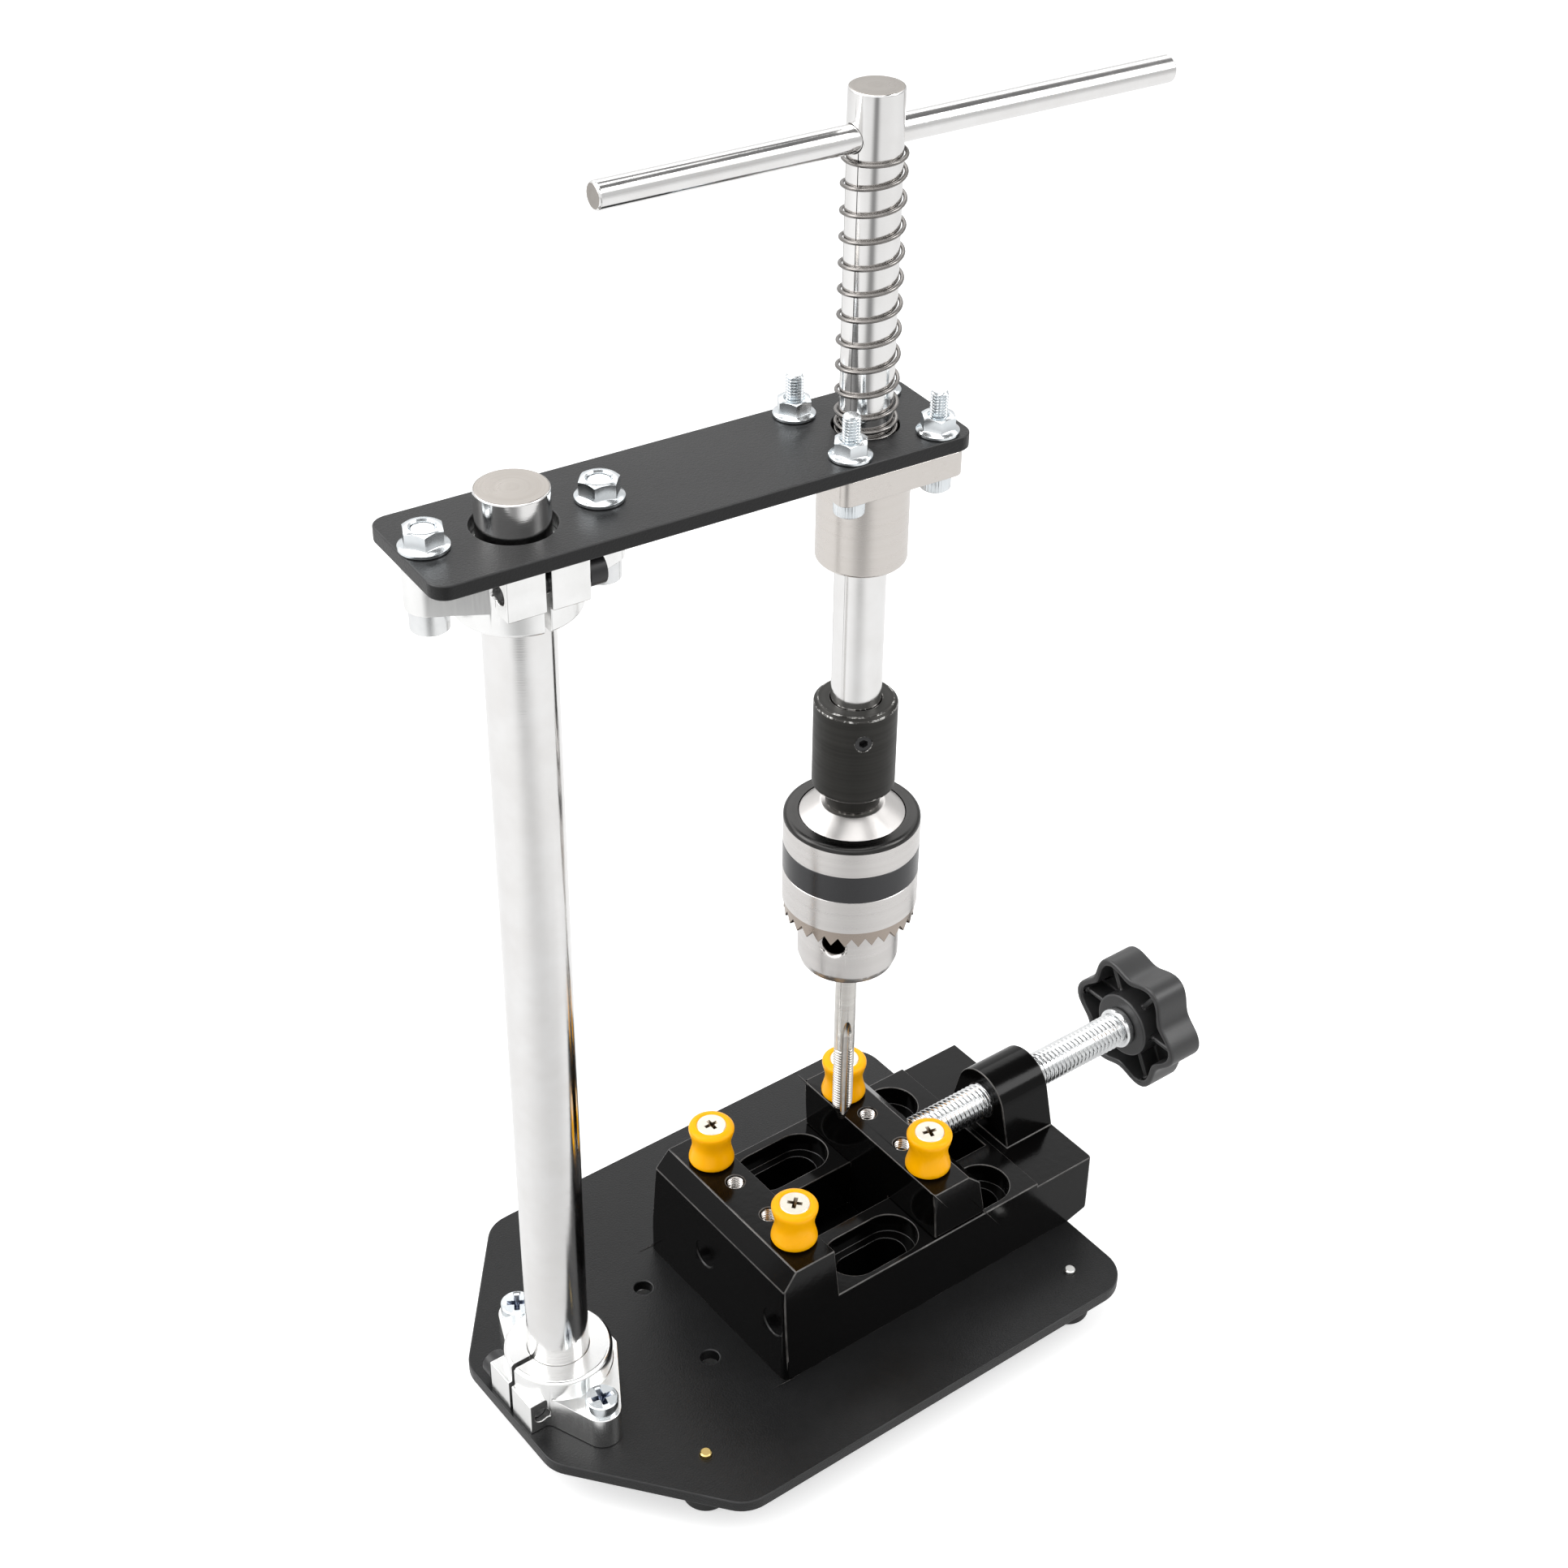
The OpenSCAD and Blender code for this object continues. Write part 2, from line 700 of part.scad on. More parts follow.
module foot_screws() {
    len = foot_h - foot_pocket + plate_t + foot_tip;
    color("Gold") at_feet() translate([0, 0, foot_pocket]) difference() {
        union() {
            bar(foot_screw_d, 0, len, foot_tip / 4);
            translate([0, 0, -foot_head_h]) cylinder(d = foot_head_d, h = foot_head_h, $fn = fine);
        }
        translate([0, 0, -foot_head_h - foot_head_h / 2])
            cross_cut(cross_w, foot_head_d / 2, foot_head_h);
    }
}

// one clamp: flange on z = 0, boss up, bolts along y, split lug towards -x
module clamp_piece() {
    side = [flange_side, flange_flat];
    back = [-lug_half, lug_half];
    top = [0, bolt_half];
    low = [0, -bolt_half];
    t1 = touch(top, flange_end_r, side, 1);
    t2 = touch(top, flange_end_r, back, -1);
    difference() {
        union() {
            linear_extrude(flange_h) {
                polygon([side, t1, t2, back, [back[0], -back[1]], [t2[0], -t2[1]],
                         [t1[0], -t1[1]], [side[0], -side[1]]]);
                translate(top) circle(flange_end_r, $fn = fine);
                translate(low) circle(flange_end_r, $fn = fine);
                translate([-lug_reach, -lug_half]) square([lug_reach, 2 * lug_half]);
            }
            rotate_extrude($fn = fine)
                polygon([[0, 0], [boss_d / 2, 0], [boss_d / 2, clamp_h - boss_bevel],
                         [boss_d / 2 - boss_bevel, clamp_h], [0, clamp_h]]);
        }
        translate([0, 0, -clamp_h])
            cylinder(r = column_d / 2 + column_fit, h = 3 * clamp_h, $fn = fine);
        translate([-lug_reach - boss_d, -split_w / 2, -clamp_h])
            cube([lug_reach + boss_d, split_w, 3 * clamp_h]);
        for (s = [-1, 1])
            translate([0, s * bolt_half, -clamp_h])
                cylinder(d = bolt_hole_d, h = 3 * clamp_h, $fn = fine);
        translate([-pinch_x, lug_half + lug_reach, flange_h / 2]) rotate([90, 0, 0]) {
            cylinder(r = pinch_d / 2 + screw_gap, h = 2 * (lug_half + lug_reach), $fn = fine);
            cylinder(r = pinch_head_d / 2 + screw_gap, h = lug_reach, $fn = fine);
        }
    }
}

// the pinch screw of that clamp, its head on the +y side
module pinch_piece() {
    translate([-pinch_x, lug_half, flange_h / 2]) rotate([90, 0, 0])
        cap_screw(pinch_d, 2 * lug_half - lug_reach / 9, pinch_head_d, pinch_head_h, socket_af);
}

module lower_clamp() {
    color("Silver") on_base() clamp_piece();
}

module lower_pinch_screw() {
    color("Black") on_base() pinch_piece();
}

module lower_flange_screws() {
    color("LightSteelBlue") on_base() for (s = [-1, 1])
        translate([0, s * bolt_half, 0]) difference() {
            union() {
                translate([0, 0, -plate_t - bolt_d / 5])
                    cylinder(d = bolt_d, h = flange_h + plate_t + bolt_d / 5, $fn = fine);
                translate([0, 0, flange_h]) rotate_extrude($fn = fine)
                    polygon([[0, 0], [bolt_head_d / 2, 0],
                             [bolt_head_d / 2, bolt_pan_h - screw_gap * 4],
                             [bolt_head_d / 2 - screw_gap * 4, bolt_pan_h], [0, bolt_pan_h]]);
            }
            translate([0, 0, flange_h + bolt_pan_h - socket_deep])
                cross_cut(cross_w, bolt_head_d * 0.55, 2 * socket_deep);
        }
}

module column() {
    color("Gainsboro") on_base() bar(column_d, slide_gap, column_top, column_bevel);
}

module arm_plate() {
    color("DimGray") on_arm() difference() {
        translate([0, 0, arm_low]) linear_extrude(arm_t)
            rounded([[-arm_back, -arm_w / 2], [arm_front, -arm_w / 2],
                     [arm_front, arm_w / 2], [-arm_back, arm_w / 2]], arm_r);
        translate([0, 0, arm_low - arm_t]) cylinder(d = arm_column_hole, h = 3 * arm_t, $fn = fine);
        translate([reach, 0, arm_low - arm_t])
            cylinder(d = arm_bearing_hole, h = 3 * arm_t, $fn = fine);
        for (s = [-1, 1]) {
            translate([s * bolt_half, 0, arm_low - arm_t])
                cylinder(d = bolt_hole_d, h = 3 * arm_t, $fn = fine);
            for (t = [-1, 1])
                translate([reach + s * pitch_half, t * pitch_half, arm_low - arm_t])
                    cylinder(d = small_hole_d, h = 3 * arm_t, $fn = fine);
        }
    }
}

// turns the clamp over and a quarter round, so that it hangs under the arm
module under_arm() {
    on_arm() translate([0, 0, arm_low]) rotate([0, 0, 90]) rotate([180, 0, 0]) children();
}

module upper_clamp() {
    color("Silver") under_arm() clamp_piece();
}

module upper_pinch_screw() {
    color("Black") under_arm() pinch_piece();
}

module upper_flange_screws() {
    color("Gainsboro") on_arm() for (s = [-1, 1])
        translate([s * bolt_half, 0, arm_low - flange_h])
            cap_screw(bolt_d, flange_h + arm_t + nut_h - bolt_d / 9, bolt_head_d, bolt_cap_h,
                      socket_af);
}

module upper_flange_nuts() {
    color("LightSteelBlue") on_arm() for (s = [-1, 1])
        translate([s * bolt_half, 0, arm_top]) rotate([0, 0, 20 * s])
            flange_nut(nut_flange_d, nut_af, nut_h, bolt_d);
}

module bearing_sleeve() {
    color("Silver") on_spindle() difference() {
        union() {
            translate([0, 0, arm_low - bearing_flange]) linear_extrude(bearing_flange)
                rounded([[-bearing_sq / 2, -bearing_sq / 2], [bearing_sq / 2, -bearing_sq / 2],
                         [bearing_sq / 2, bearing_sq / 2], [-bearing_sq / 2, bearing_sq / 2]],
                        bearing_sq_r);
            bar(bearing_d, bearing_low, arm_low - bearing_flange / 2, bearing_bevel);
        }
        translate([0, 0, bearing_low - bearing_len])
            cylinder(d = race_d, h = 3 * bearing_len, $fn = fine);
        for (s = [-1, 1], t = [-1, 1])
            translate([s * pitch_half, t * pitch_half, arm_low - 2 * bearing_flange])
                cylinder(d = small_hole_d, h = 3 * bearing_flange, $fn = fine);
    }
}

// heights of the balls in one row
ball_z = [for (i = [-2 : 2]) arm_low - bearing_len / 2 + i * ball_step];

module bearing_cage() {
    gap = ball_d / 2 + cage_gap / 4;
    color("Khaki") on_spindle() difference() {
        translate([0, 0, bearing_low + seal_t]) difference() {
            cylinder(r = race_d / 2 - cage_gap / 7, h = bearing_len - 2 * seal_t, $fn = fine);
            translate([0, 0, -seal_t])
                cylinder(r = spindle_d / 2 + cage_gap, h = bearing_len, $fn = fine);
        }
        for (a = [0, 90, 180, 270], z = ball_z)
            rotate([0, 0, a + 45]) translate([0, 0, z]) rotate([0, 90, 0])
                cylinder(r = gap, h = race_d, $fn = fine);
    }
}

module bearing_balls() {
    color("White") on_spindle() for (a = [0, 90, 180, 270], z = ball_z)
        rotate([0, 0, a + 45])
            translate([spindle_d / 2 + spindle_fit + ball_d / 2, 0, z])
                sphere(d = ball_d, $fn = 24);
}

module bearing_seals() {
    color("Black") on_spindle() for (z = [bearing_low, arm_low - seal_t])
        translate([0, 0, z]) difference() {
            cylinder(r = race_d / 2, h = seal_t, $fn = fine);
            translate([0, 0, -seal_t])
                cylinder(r = spindle_d / 2 + spindle_fit, h = 3 * seal_t, $fn = fine);
        }
}

module bearing_screws() {
    color("LightSteelBlue") on_spindle() for (s = [-1, 1], t = [-1, 1])
        translate([s * pitch_half, t * pitch_half, arm_low - bearing_flange])
            cap_screw(small_d, bearing_flange + arm_t + small_stud, small_head_d, small_head_h,
                      socket_af);
}

module bearing_nuts() {
    color("LightSteelBlue") on_spindle() for (s = [-1, 1], t = [-1, 1])
        translate([s * pitch_half, t * pitch_half, arm_top]) rotate([0, 0, 25 * s * t])
            flange_nut(small_flange_d, small_af, small_h, small_d);
}

// height of the spring's centre line after t turns: closed, opening, open, closing turns
function ease_part(t) = close_pitch * t + (open_pitch - close_pitch) * t * t / (2 * ease_turns);
function coil_z(t) = coil_low +
    (t < close_turns ? close_pitch * t
     : t < close_turns + ease_turns ? close_pitch * close_turns + ease_part(t - close_turns)
     : t < coil_turns - end_turns
         ? close_pitch * close_turns + ease_rise + open_pitch * (t - close_turns - ease_turns)
     : close_pitch * close_turns + ease_rise + open_pitch * open_turns
         + end_rise * (t - coil_turns + end_turns) / end_turns);
function coil_at(t, r) = let (a = coil_phase - arm_turn + 360 * t) [r * cos(a), r * sin(a), coil_z(t)];

// one corner of the ring of six corners round the wire after t turns
function wire_corner(t, k) =
    let (b = 60 * k + 30)
    coil_at(t, coil_r + wire_d / 2 * cos(b)) + [0, 0, wire_d / 2 * sin(b)];

// the spring is one unbroken tube, eight rings to a turn
rings = floor(coil_turns * 8);
coil_points = [for (i = [0 : rings], k = [0 : 5]) wire_corner(coil_turns * i / rings, k)];
coil_sides = [for (i = [0 : rings - 1], k = [0 : 5])
    let (n = (k + 1) % 6) [i * 6 + k, i * 6 + n, (i + 1) * 6 + n, (i + 1) * 6 + k]];
coil_faces = concat(coil_sides, [[5, 4, 3, 2, 1, 0]],
                    [[for (k = [0 : 5]) rings * 6 + k]]);

module return_spring() {
    color("DimGray") on_spindle() polyhedron(coil_points, coil_faces);
}

// least gap between one turn of the wire and the next, measured on points of its centre line
turn_gaps = [for (i = [0 : 4 : floor((coil_turns - 1) * 32)])
    norm(coil_at(i / 32 + 1, coil_r) - coil_at(i / 32, coil_r)) - wire_d];
echo(spring_least_gap = min(turn_gaps), spring_turns = coil_turns);

module spindle() {
    color("Gainsboro") on_spindle() difference() {
        bar(spindle_d, spindle_low, spindle_top, spindle_bevel);
        translate([-spindle_d, 0, handle_z]) rotate([0, 90, 0])
            cylinder(r = handle_d / 2 + handle_fit, h = 2 * spindle_d, $fn = fine);
    }
}

module handle_bar() {
    color("Gainsboro") on_spindle() translate([handle_push, 0, handle_z]) rotate([0, 90, 0])
        bar(handle_d, -handle_len / 2, handle_len / 2, handle_bevel);
}

module coupler() {
    color("DimGray") on_spindle() difference() {
        union() {
            bar(coupler_d, coupler_low, coupler_top, coupler_bevel);
            translate([0, 0, cone_top])
                cylinder(d = neck_d, h = coupler_low - cone_top + coupler_bevel, $fn = fine);
            translate([0, 0, stub_low])
                cylinder(d = stub_d, h = coupler_low - stub_low, $fn = fine);
        }
        translate([0, 0, spindle_low])
            cylinder(r = spindle_d / 2 + coupler_gap, h = coupler_top - stub_low, $fn = fine);
        translate([0, 0, set_z]) rotate([0, 0, set_turn - arm_turn]) rotate([0, 90, 0])
            cylinder(d = set_d, h = coupler_d, $fn = fine);
    }
}

module coupler_set_screw() {
    from = spindle_d / 2 + coupler_gap / 2;
    long = coupler_d / 2 - from - coupler_gap * 2;
    color("Black") on_spindle() translate([0, 0, set_z]) rotate([0, 0, set_turn - arm_turn])
        rotate([0, 90, 0]) translate([0, 0, from]) difference() {
            cylinder(d = set_d, h = long, $fn = fine);
            translate([0, 0, long / 2]) hexagon(set_d / 2, long);
        }
}

// calls its children at the start of each of the three jaw rods, turned to the rod's side
// and leaning outwards as it rises
module at_jaw(a, slack) {
    rotate([0, 0, key_turn - arm_turn + 60 + a])
        translate([jaw_start, 0, nose_z]) rotate([0, jaw_lean, 0])
            translate([0, 0, -slack]) children();
}

module chuck_body() {
    rise = throat_top + jaw_rod_d / 2 - nose_z;
    color("Silver") on_spindle() difference() {
        rotate_extrude($fn = fine)
            polygon([[throat_d / 2, nose_z], [nose_d / 2 - nose_slope, nose_z],
                     [nose_d / 2, nose_z + nose_bevel], [nose_d / 2, ring_low - ring_gap],
                     [groove_d / 2, ring_low - ring_gap], [groove_d / 2, ring_top + ring_gap],
                     [nose_d / 2, ring_top + ring_gap], [nose_d / 2, collar_z - collar_d / 7],
                     [collar_d / 2, collar_z - collar_d / 7], [collar_d / 2, collar_z],
                     [cone_d / 2, cone_top], [stub_d / 2, cone_top], [stub_d / 2, throat_top],
                     [throat_d / 2, throat_top]]);
        for (a = [0, 120, 240]) {
            at_jaw(a, jaw_rod_d)
                cylinder(r = jaw_rod_d / 2 + jaw_fit,
                         h = (rise + jaw_rod_d) / cos(jaw_lean), $fn = fine);
            translate([0, 0, key_z]) rotate([0, 0, key_turn - arm_turn + a]) rotate([0, 90, 0]) {
                translate([0, 0, nose_d / 2 - key_deep])
                    cylinder(d = key_d, h = nose_d, $fn = fine);
                translate([0, 0, nose_d / 2 - key_bevel])
                    cylinder(d1 = key_d, d2 = key_d + 4 * key_bevel, h = 2 * key_bevel, $fn = fine);
            }
        }
    }
}

// one jaw: a leaning rod cut to its third of the circle and to the tap it grips
module chuck_jaw(a) {
    color("Gray") on_spindle() intersection() {
        difference() {
            at_jaw(a, jaw_rod_d) cylinder(d = jaw_rod_d, h = 2 * jaw_top, $fn = fine);
            translate([0, 0, nose_z - jaw_rod_d])
                cylinder(r = tap_d / 2 + jaw_fit / 2, h = jaw_top, $fn = fine);
        }
        translate([0, 0, nose_z + socket_af / 6])
            linear_extrude(jaw_top - nose_z - socket_af / 6)
                rotate([0, 0, key_turn - arm_turn + 60 + a])
                    polygon([[tap_d / 9, 0], [sleeve_d, (sleeve_d - tap_d / 9) * tan(60)],
                             [sleeve_d, -(sleeve_d - tap_d / 9) * tan(60)]]);
    }
}

module chuck_jaw_a() {
    chuck_jaw(0);
}

module chuck_jaw_b() {
    chuck_jaw(120);
}

module chuck_jaw_c() {
    chuck_jaw(240);
}

module chuck_ring() {
    // the rod's outer side at the ring's two faces
    out = jaw_start + jaw_rod_d / 2 / cos(jaw_lean) + jaw_fit;
    r1 = out + (ring_low - nose_z) * tilt;
    r2 = out + (ring_top - nose_z) * tilt;
    color("DarkGray") on_spindle() rotate_extrude($fn = fine)
        polygon([[r1, ring_low], [sleeve_bore / 2, ring_low], [sleeve_bore / 2, ring_top],
                 [r2, ring_top]]);
}

module chuck_sleeve() {
    lip_in = nose_d / 2 + chuck_fit;
    collar_in = collar_d / 2 + chuck_fit;
    color("Silver") on_spindle() difference() {
        rotate_extrude($fn = fine)
            polygon([[lip_in, tooth_low], [tooth_d / 2 - tooth_bevel, tooth_low],
                     [tooth_d / 2, tooth_low + tooth_bevel * 1.9], [tooth_d / 2, sleeve_low],
                     [sleeve_d / 2, sleeve_low + band_groove],
                     [sleeve_d / 2, band_low - band_groove],
                     [sleeve_d / 2 - band_groove, band_low],
                     [sleeve_d / 2, band_low + band_groove],
                     [sleeve_d / 2, band_top - band_groove],
                     [sleeve_d / 2 - band_groove, band_top],
                     [sleeve_d / 2, band_top + band_groove],
                     [sleeve_d / 2, sleeve_top - sleeve_bevel],
                     [sleeve_d / 2 - sleeve_bevel, sleeve_top],
                     [collar_in, sleeve_top], [collar_in, sleeve_top - collar_d / 8],
                     [sleeve_bore / 2, sleeve_top - collar_d / 8],
                     [sleeve_bore / 2, ring_low - ring_gap / 3],
                     [lip_in, ring_low - ring_gap / 3]]);
        for (i = [0 : teeth - 1])
            rotate([0, 0, (i + 1 / 2) * 360 / teeth])
                translate([tooth_d / 2, 0, tooth_low + tooth_deep]) rotate([0, 90 - tooth_lean, 0])
                    translate([0, 0, -tooth_d / 4]) linear_extrude(tooth_d / 2)
                        polygon([[0, 0], [2 * tooth_deep, tooth_gap],
                                 [2 * tooth_deep, -tooth_gap]]);
    }
}

module tap() {
    color("Gainsboro") on_spindle() difference() {
        rotate_extrude($fn = fine)
            polygon([[0, tap_point], [tap_tip_d / 2, tap_point + tap_tip_d / 4],
                     [tap_d / 2, tap_point + tap_taper], [tap_d / 2, tap_top], [0, tap_top]]);
        for (i = [0 : flutes - 1])
            rotate([0, 0, flute_turn - arm_turn + i * 360 / flutes])
                translate([tap_d / 2, 0, tap_point - flute_d])
                    cylinder(d = flute_d, h = flute_top - tap_point + flute_d, $fn = fine);
    }
}

// an oblong of a length and width from z1 to z2, its left end at x
module oblong(x, y, len, w, z1, z2) {
    translate([x, y, z1]) linear_extrude(z2 - z1) {
        translate([w / 2, 0]) circle(d = w, $fn = fine);
        translate([len - w / 2, 0]) circle(d = w, $fn = fine);
        translate([w / 2, -w / 2]) square([len - w, w]);
    }
}

// the vise's outline across: a plinth with drawn-in jaws, its foot wider on the +y side
module across(start, end) {
    lean = vise_w - vise_top_w;
    translate([start, 0, 0]) rotate([90, 0, 90]) linear_extrude(end - start)
        polygon([[-vise_w / 2, 0], [vise_w / 2 + vise_flare, 0],
                 [vise_w / 2 - vise_flare - lean, 2 * jaw_z], [-vise_w / 2 + lean, 2 * jaw_z]]);
}

module vise_body() {
    touch_r = touch([0, screw_z], arch_r, [arch_foot, tail_z - mark_deep], 1);
    color("Black") on_vise() difference() {
        union() {
            intersection() {
                translate([0, vise_w, 0]) rotate([90, 0, 0]) linear_extrude(2 * vise_w)
                    polygon([[vise_start, 0], [vise_start, jaw_bevel_z], [fixed_top_start, jaw_z],
                             [fixed_top_end, jaw_z], [fixed_foot, bed_z], [tail_x, bed_z],
                             [tail_x, tail_z], [vise_end, tail_z], [vise_end, tail_lift],
                             [plate_front, 0]]);
                across(vise_start, vise_end);
                linear_extrude(jaw_z) rounded([[vise_start, -vise_w / 2], [vise_end, -vise_w / 2],
                    [vise_end, vise_w / 2 + vise_flare], [vise_start, vise_w / 2 + vise_flare]],
                    vise_r);
            }
            translate([boss_start, 0, 0]) rotate([90, 0, 90])
                linear_extrude(vise_end - boss_start) {
                    translate([0, screw_z]) circle(arch_r, $fn = fine);
                    polygon([[arch_foot, tail_z - mark_deep], touch_r,
                             [-touch_r[0], touch_r[1]], [-arch_foot, tail_z - mark_deep]]);
                }
        }
        translate([boss_start - screw_d, 0, screw_z]) rotate([0, 90, 0])
            cylinder(r = screw_d / 2 + screw_fit, h = 3 * screw_d, $fn = fine);
        translate([fixed_foot, -channel_half, -bed_z])
            cube([channel_end - fixed_foot, 2 * channel_half, 3 * bed_z]);
        translate([fixed_foot, -under_half, -under_h])
            cube([channel_end - fixed_foot, 2 * under_half, 2 * under_h]);
        for (s = [-1, 1], x = [slot_start, slot_start + slot_step]) {
            oblong(x, s * slot_y, slot_len, slot_w, ledge_z, jaw_z);
            oblong(x + (slot_len - slot_low_len) / 2, s * slot_y, slot_low_len, slot_low_w,
                   -bed_z, jaw_z);
        }
        for (s = [-1, 1]) {
            translate([fixed_thread_x, s * thread_y, jaw_z - thread_deep])
                cylinder(d = thread_d, h = 2 * thread_deep, $fn = fine);
            translate([fixed_post_x, s * post_y, jaw_z - post_screw_deep])
                cylinder(d = small_d, h = 2 * post_screw_deep, $fn = fine);
        }
        for (y = [mark_a, mark_b])
            translate([vise_start - mark_deep, y, mark_z]) rotate([0, 90, 0])
                cylinder(d = mark_d, h = 2 * mark_deep, $fn = fine);
    }
}

// one post standing on z = 0, with two lobes, a waist and a countersunk hole
module post_piece() {
    steps = 24;
    swell = (post_d - waist_d) / 2;
    curve = [for (i = [0 : steps]) let (z = post_h * i / steps,
             edge = min(1, min(z, post_h - z) / post_round))
        [post_d / 2 - swell * (0.5 - 0.5 * cos(360 * z / post_h))
         - post_round * (1 - sqrt(1 - pow(1 - edge, 2))) * 0.8, z]];
    bore = small_d / 2 + screw_gap;
    rotate_extrude($fn = fine)
        polygon(concat([[bore, 0]], curve,
                       [[post_head_d / 2 + screw_gap, post_h], [bore, post_h - post_head_h]]));
}

// its countersunk screw
module post_screw_piece() {
    difference() {
        rotate_extrude($fn = fine)
            polygon([[0, -post_screw_deep], [small_d / 2, -post_screw_deep],
                     [small_d / 2, post_h - post_head_h], [post_head_d / 2, post_h],
                     [0, post_h]]);
        translate([0, 0, post_h - socket_deep * 0.7])
            cross_cut(cross_w, post_head_d * 0.55, socket_deep);
    }
}

// calls its children on top of one jaw's pair of posts
module at_posts(x) {
    on_vise() for (s = [-1, 1]) translate([x, s * post_y, jaw_z]) children();
}

module fixed_posts() {
    color("Orange") at_posts(fixed_post_x) post_piece();
}

module fixed_post_screws() {
    color("Silver") at_posts(fixed_post_x) post_screw_piece();
}

module moving_posts() {
    color("Orange") at_posts(moving_post_x) post_piece();
}

module moving_post_screws() {
    color("Silver") at_posts(moving_post_x) post_screw_piece();
}

module moving_jaw() {
    low = bed_z + slide_gap;
    color("Black") on_vise() difference() {
        union() {
            intersection() {
                translate([0, vise_w, 0]) rotate([90, 0, 0]) linear_extrude(2 * vise_w)
                    polygon([[moving_foot, low], [moving_face, jaw_z], [moving_top_end, jaw_z],
                             [moving_bevel_x, moving_bevel_z], [moving_back, low]]);
                across(moving_face, moving_back);
                linear_extrude(jaw_z) rounded([[moving_face, -vise_top_w / 2],
                    [moving_back, -vise_top_w / 2], [moving_back, vise_top_w / 2],
                    [moving_face, vise_top_w / 2]], vise_r / 2);
            }
            translate([moving_foot, -channel_half + slide_gap, tongue_z])
                cube([moving_back - moving_foot, 2 * (channel_half - slide_gap),
                      bed_z - tongue_z + 2 * slide_gap]);
        }
        translate([screw_start - screw_gap * 5, 0, screw_z]) rotate([0, 90, 0])
            cylinder(r = screw_d / 2 + screw_fit, h = jaw_z, $fn = fine);
        translate([groove_x + groove_w / 2, pin_y, -bed_z])
            cylinder(d = pin_d, h = bed_z + screw_z + pin_rise, $fn = fine);
        for (s = [-1, 1]) {
            translate([moving_post_x, s * thread_y, jaw_z - thread_deep / 3])
                cylinder(d = thread_d, h = thread_deep, $fn = fine);
            translate([moving_post_x, s * post_y, jaw_z - post_screw_deep])
                cylinder(d = small_d, h = 2 * post_screw_deep, $fn = fine);
            translate([moving_foot + guide_len / 4, s * guide_screw_y, -bed_z])
                cylinder(d = guide_screw_d, h = bed_z + tongue_z + guide_screw_deep, $fn = fine);
        }
    }
}

module guide_plate() {
    start = moving_foot + (moving_back - moving_foot - guide_len) / 2;
    color("Gray") on_vise() difference() {
        translate([start, -guide_half, guide_low])
            cube([guide_len, 2 * guide_half, tongue_z - guide_low - slide_gap / 9]);
        for (s = [-1, 1]) translate([moving_foot + guide_len / 4, s * guide_screw_y, 0]) {
            translate([0, 0, -bed_z])
                cylinder(r = guide_screw_d / 2 + screw_gap, h = 2 * bed_z, $fn = fine);
            translate([0, 0, -bed_z])
                cylinder(r = guide_head_d / 2 + screw_gap, $fn = fine,
                         h = bed_z + guide_low + guide_head_h);
        }
    }
}

module guide_plate_screws() {
    color("Silver") on_vise() for (s = [-1, 1])
        translate([moving_foot + guide_len / 4, s * guide_screw_y, guide_low]) {
            cylinder(d = guide_head_d, h = guide_head_h, $fn = fine);
            cylinder(d = guide_screw_d, h = tongue_z - guide_low + guide_screw_deep, $fn = fine);
        }
}

module keeper_pin() {
    color("Gray") on_vise() translate([groove_x + groove_w / 2, pin_y, tongue_z])
        cylinder(d = pin_d, h = screw_z + pin_rise - tongue_z, $fn = fine);
}

// turns a shape of revolution about z into one along the lead screw
module along_screw() {
    on_vise() translate([0, 0, screw_z]) rotate([0, 90, 0]) children();
}

module lead_screw() {
    r = screw_d / 2;
    ease = screw_d / 12;
    color("Silver") along_screw() rotate_extrude($fn = fine)
        polygon([[0, screw_start], [r - ease, screw_start], [r, screw_start + ease],
                 [r, groove_x], [groove_neck_d / 2, groove_x],
                 [groove_neck_d / 2, groove_x + groove_w], [r, groove_x + groove_w],
                 [r, knob_start - hub_collar_w - ease], [r - ease, knob_start - hub_collar_w],
                 [hub_collar_d / 2 - ease, knob_start - hub_collar_w],
                 [hub_collar_d / 2, knob_start - hub_collar_w + ease],
                 [hub_collar_d / 2, knob_start], [r, knob_start], [r, knob_end - knob_wall],
                 [0, knob_end - knob_wall]]);
}

// the knob's outline, drawn in by a distance: its radius rises and falls once for each lobe
function knob_outline(inset) =
    let (steps = lobes * 16, mean = (knob_r + valley_r) / 2, swing = (knob_r - valley_r) / 2)
    [for (i = [0 : steps - 1])
        let (a = i * 360 / steps, r = mean - inset + swing * cos(lobes * a)) [r * cos(a), r * sin(a)]];

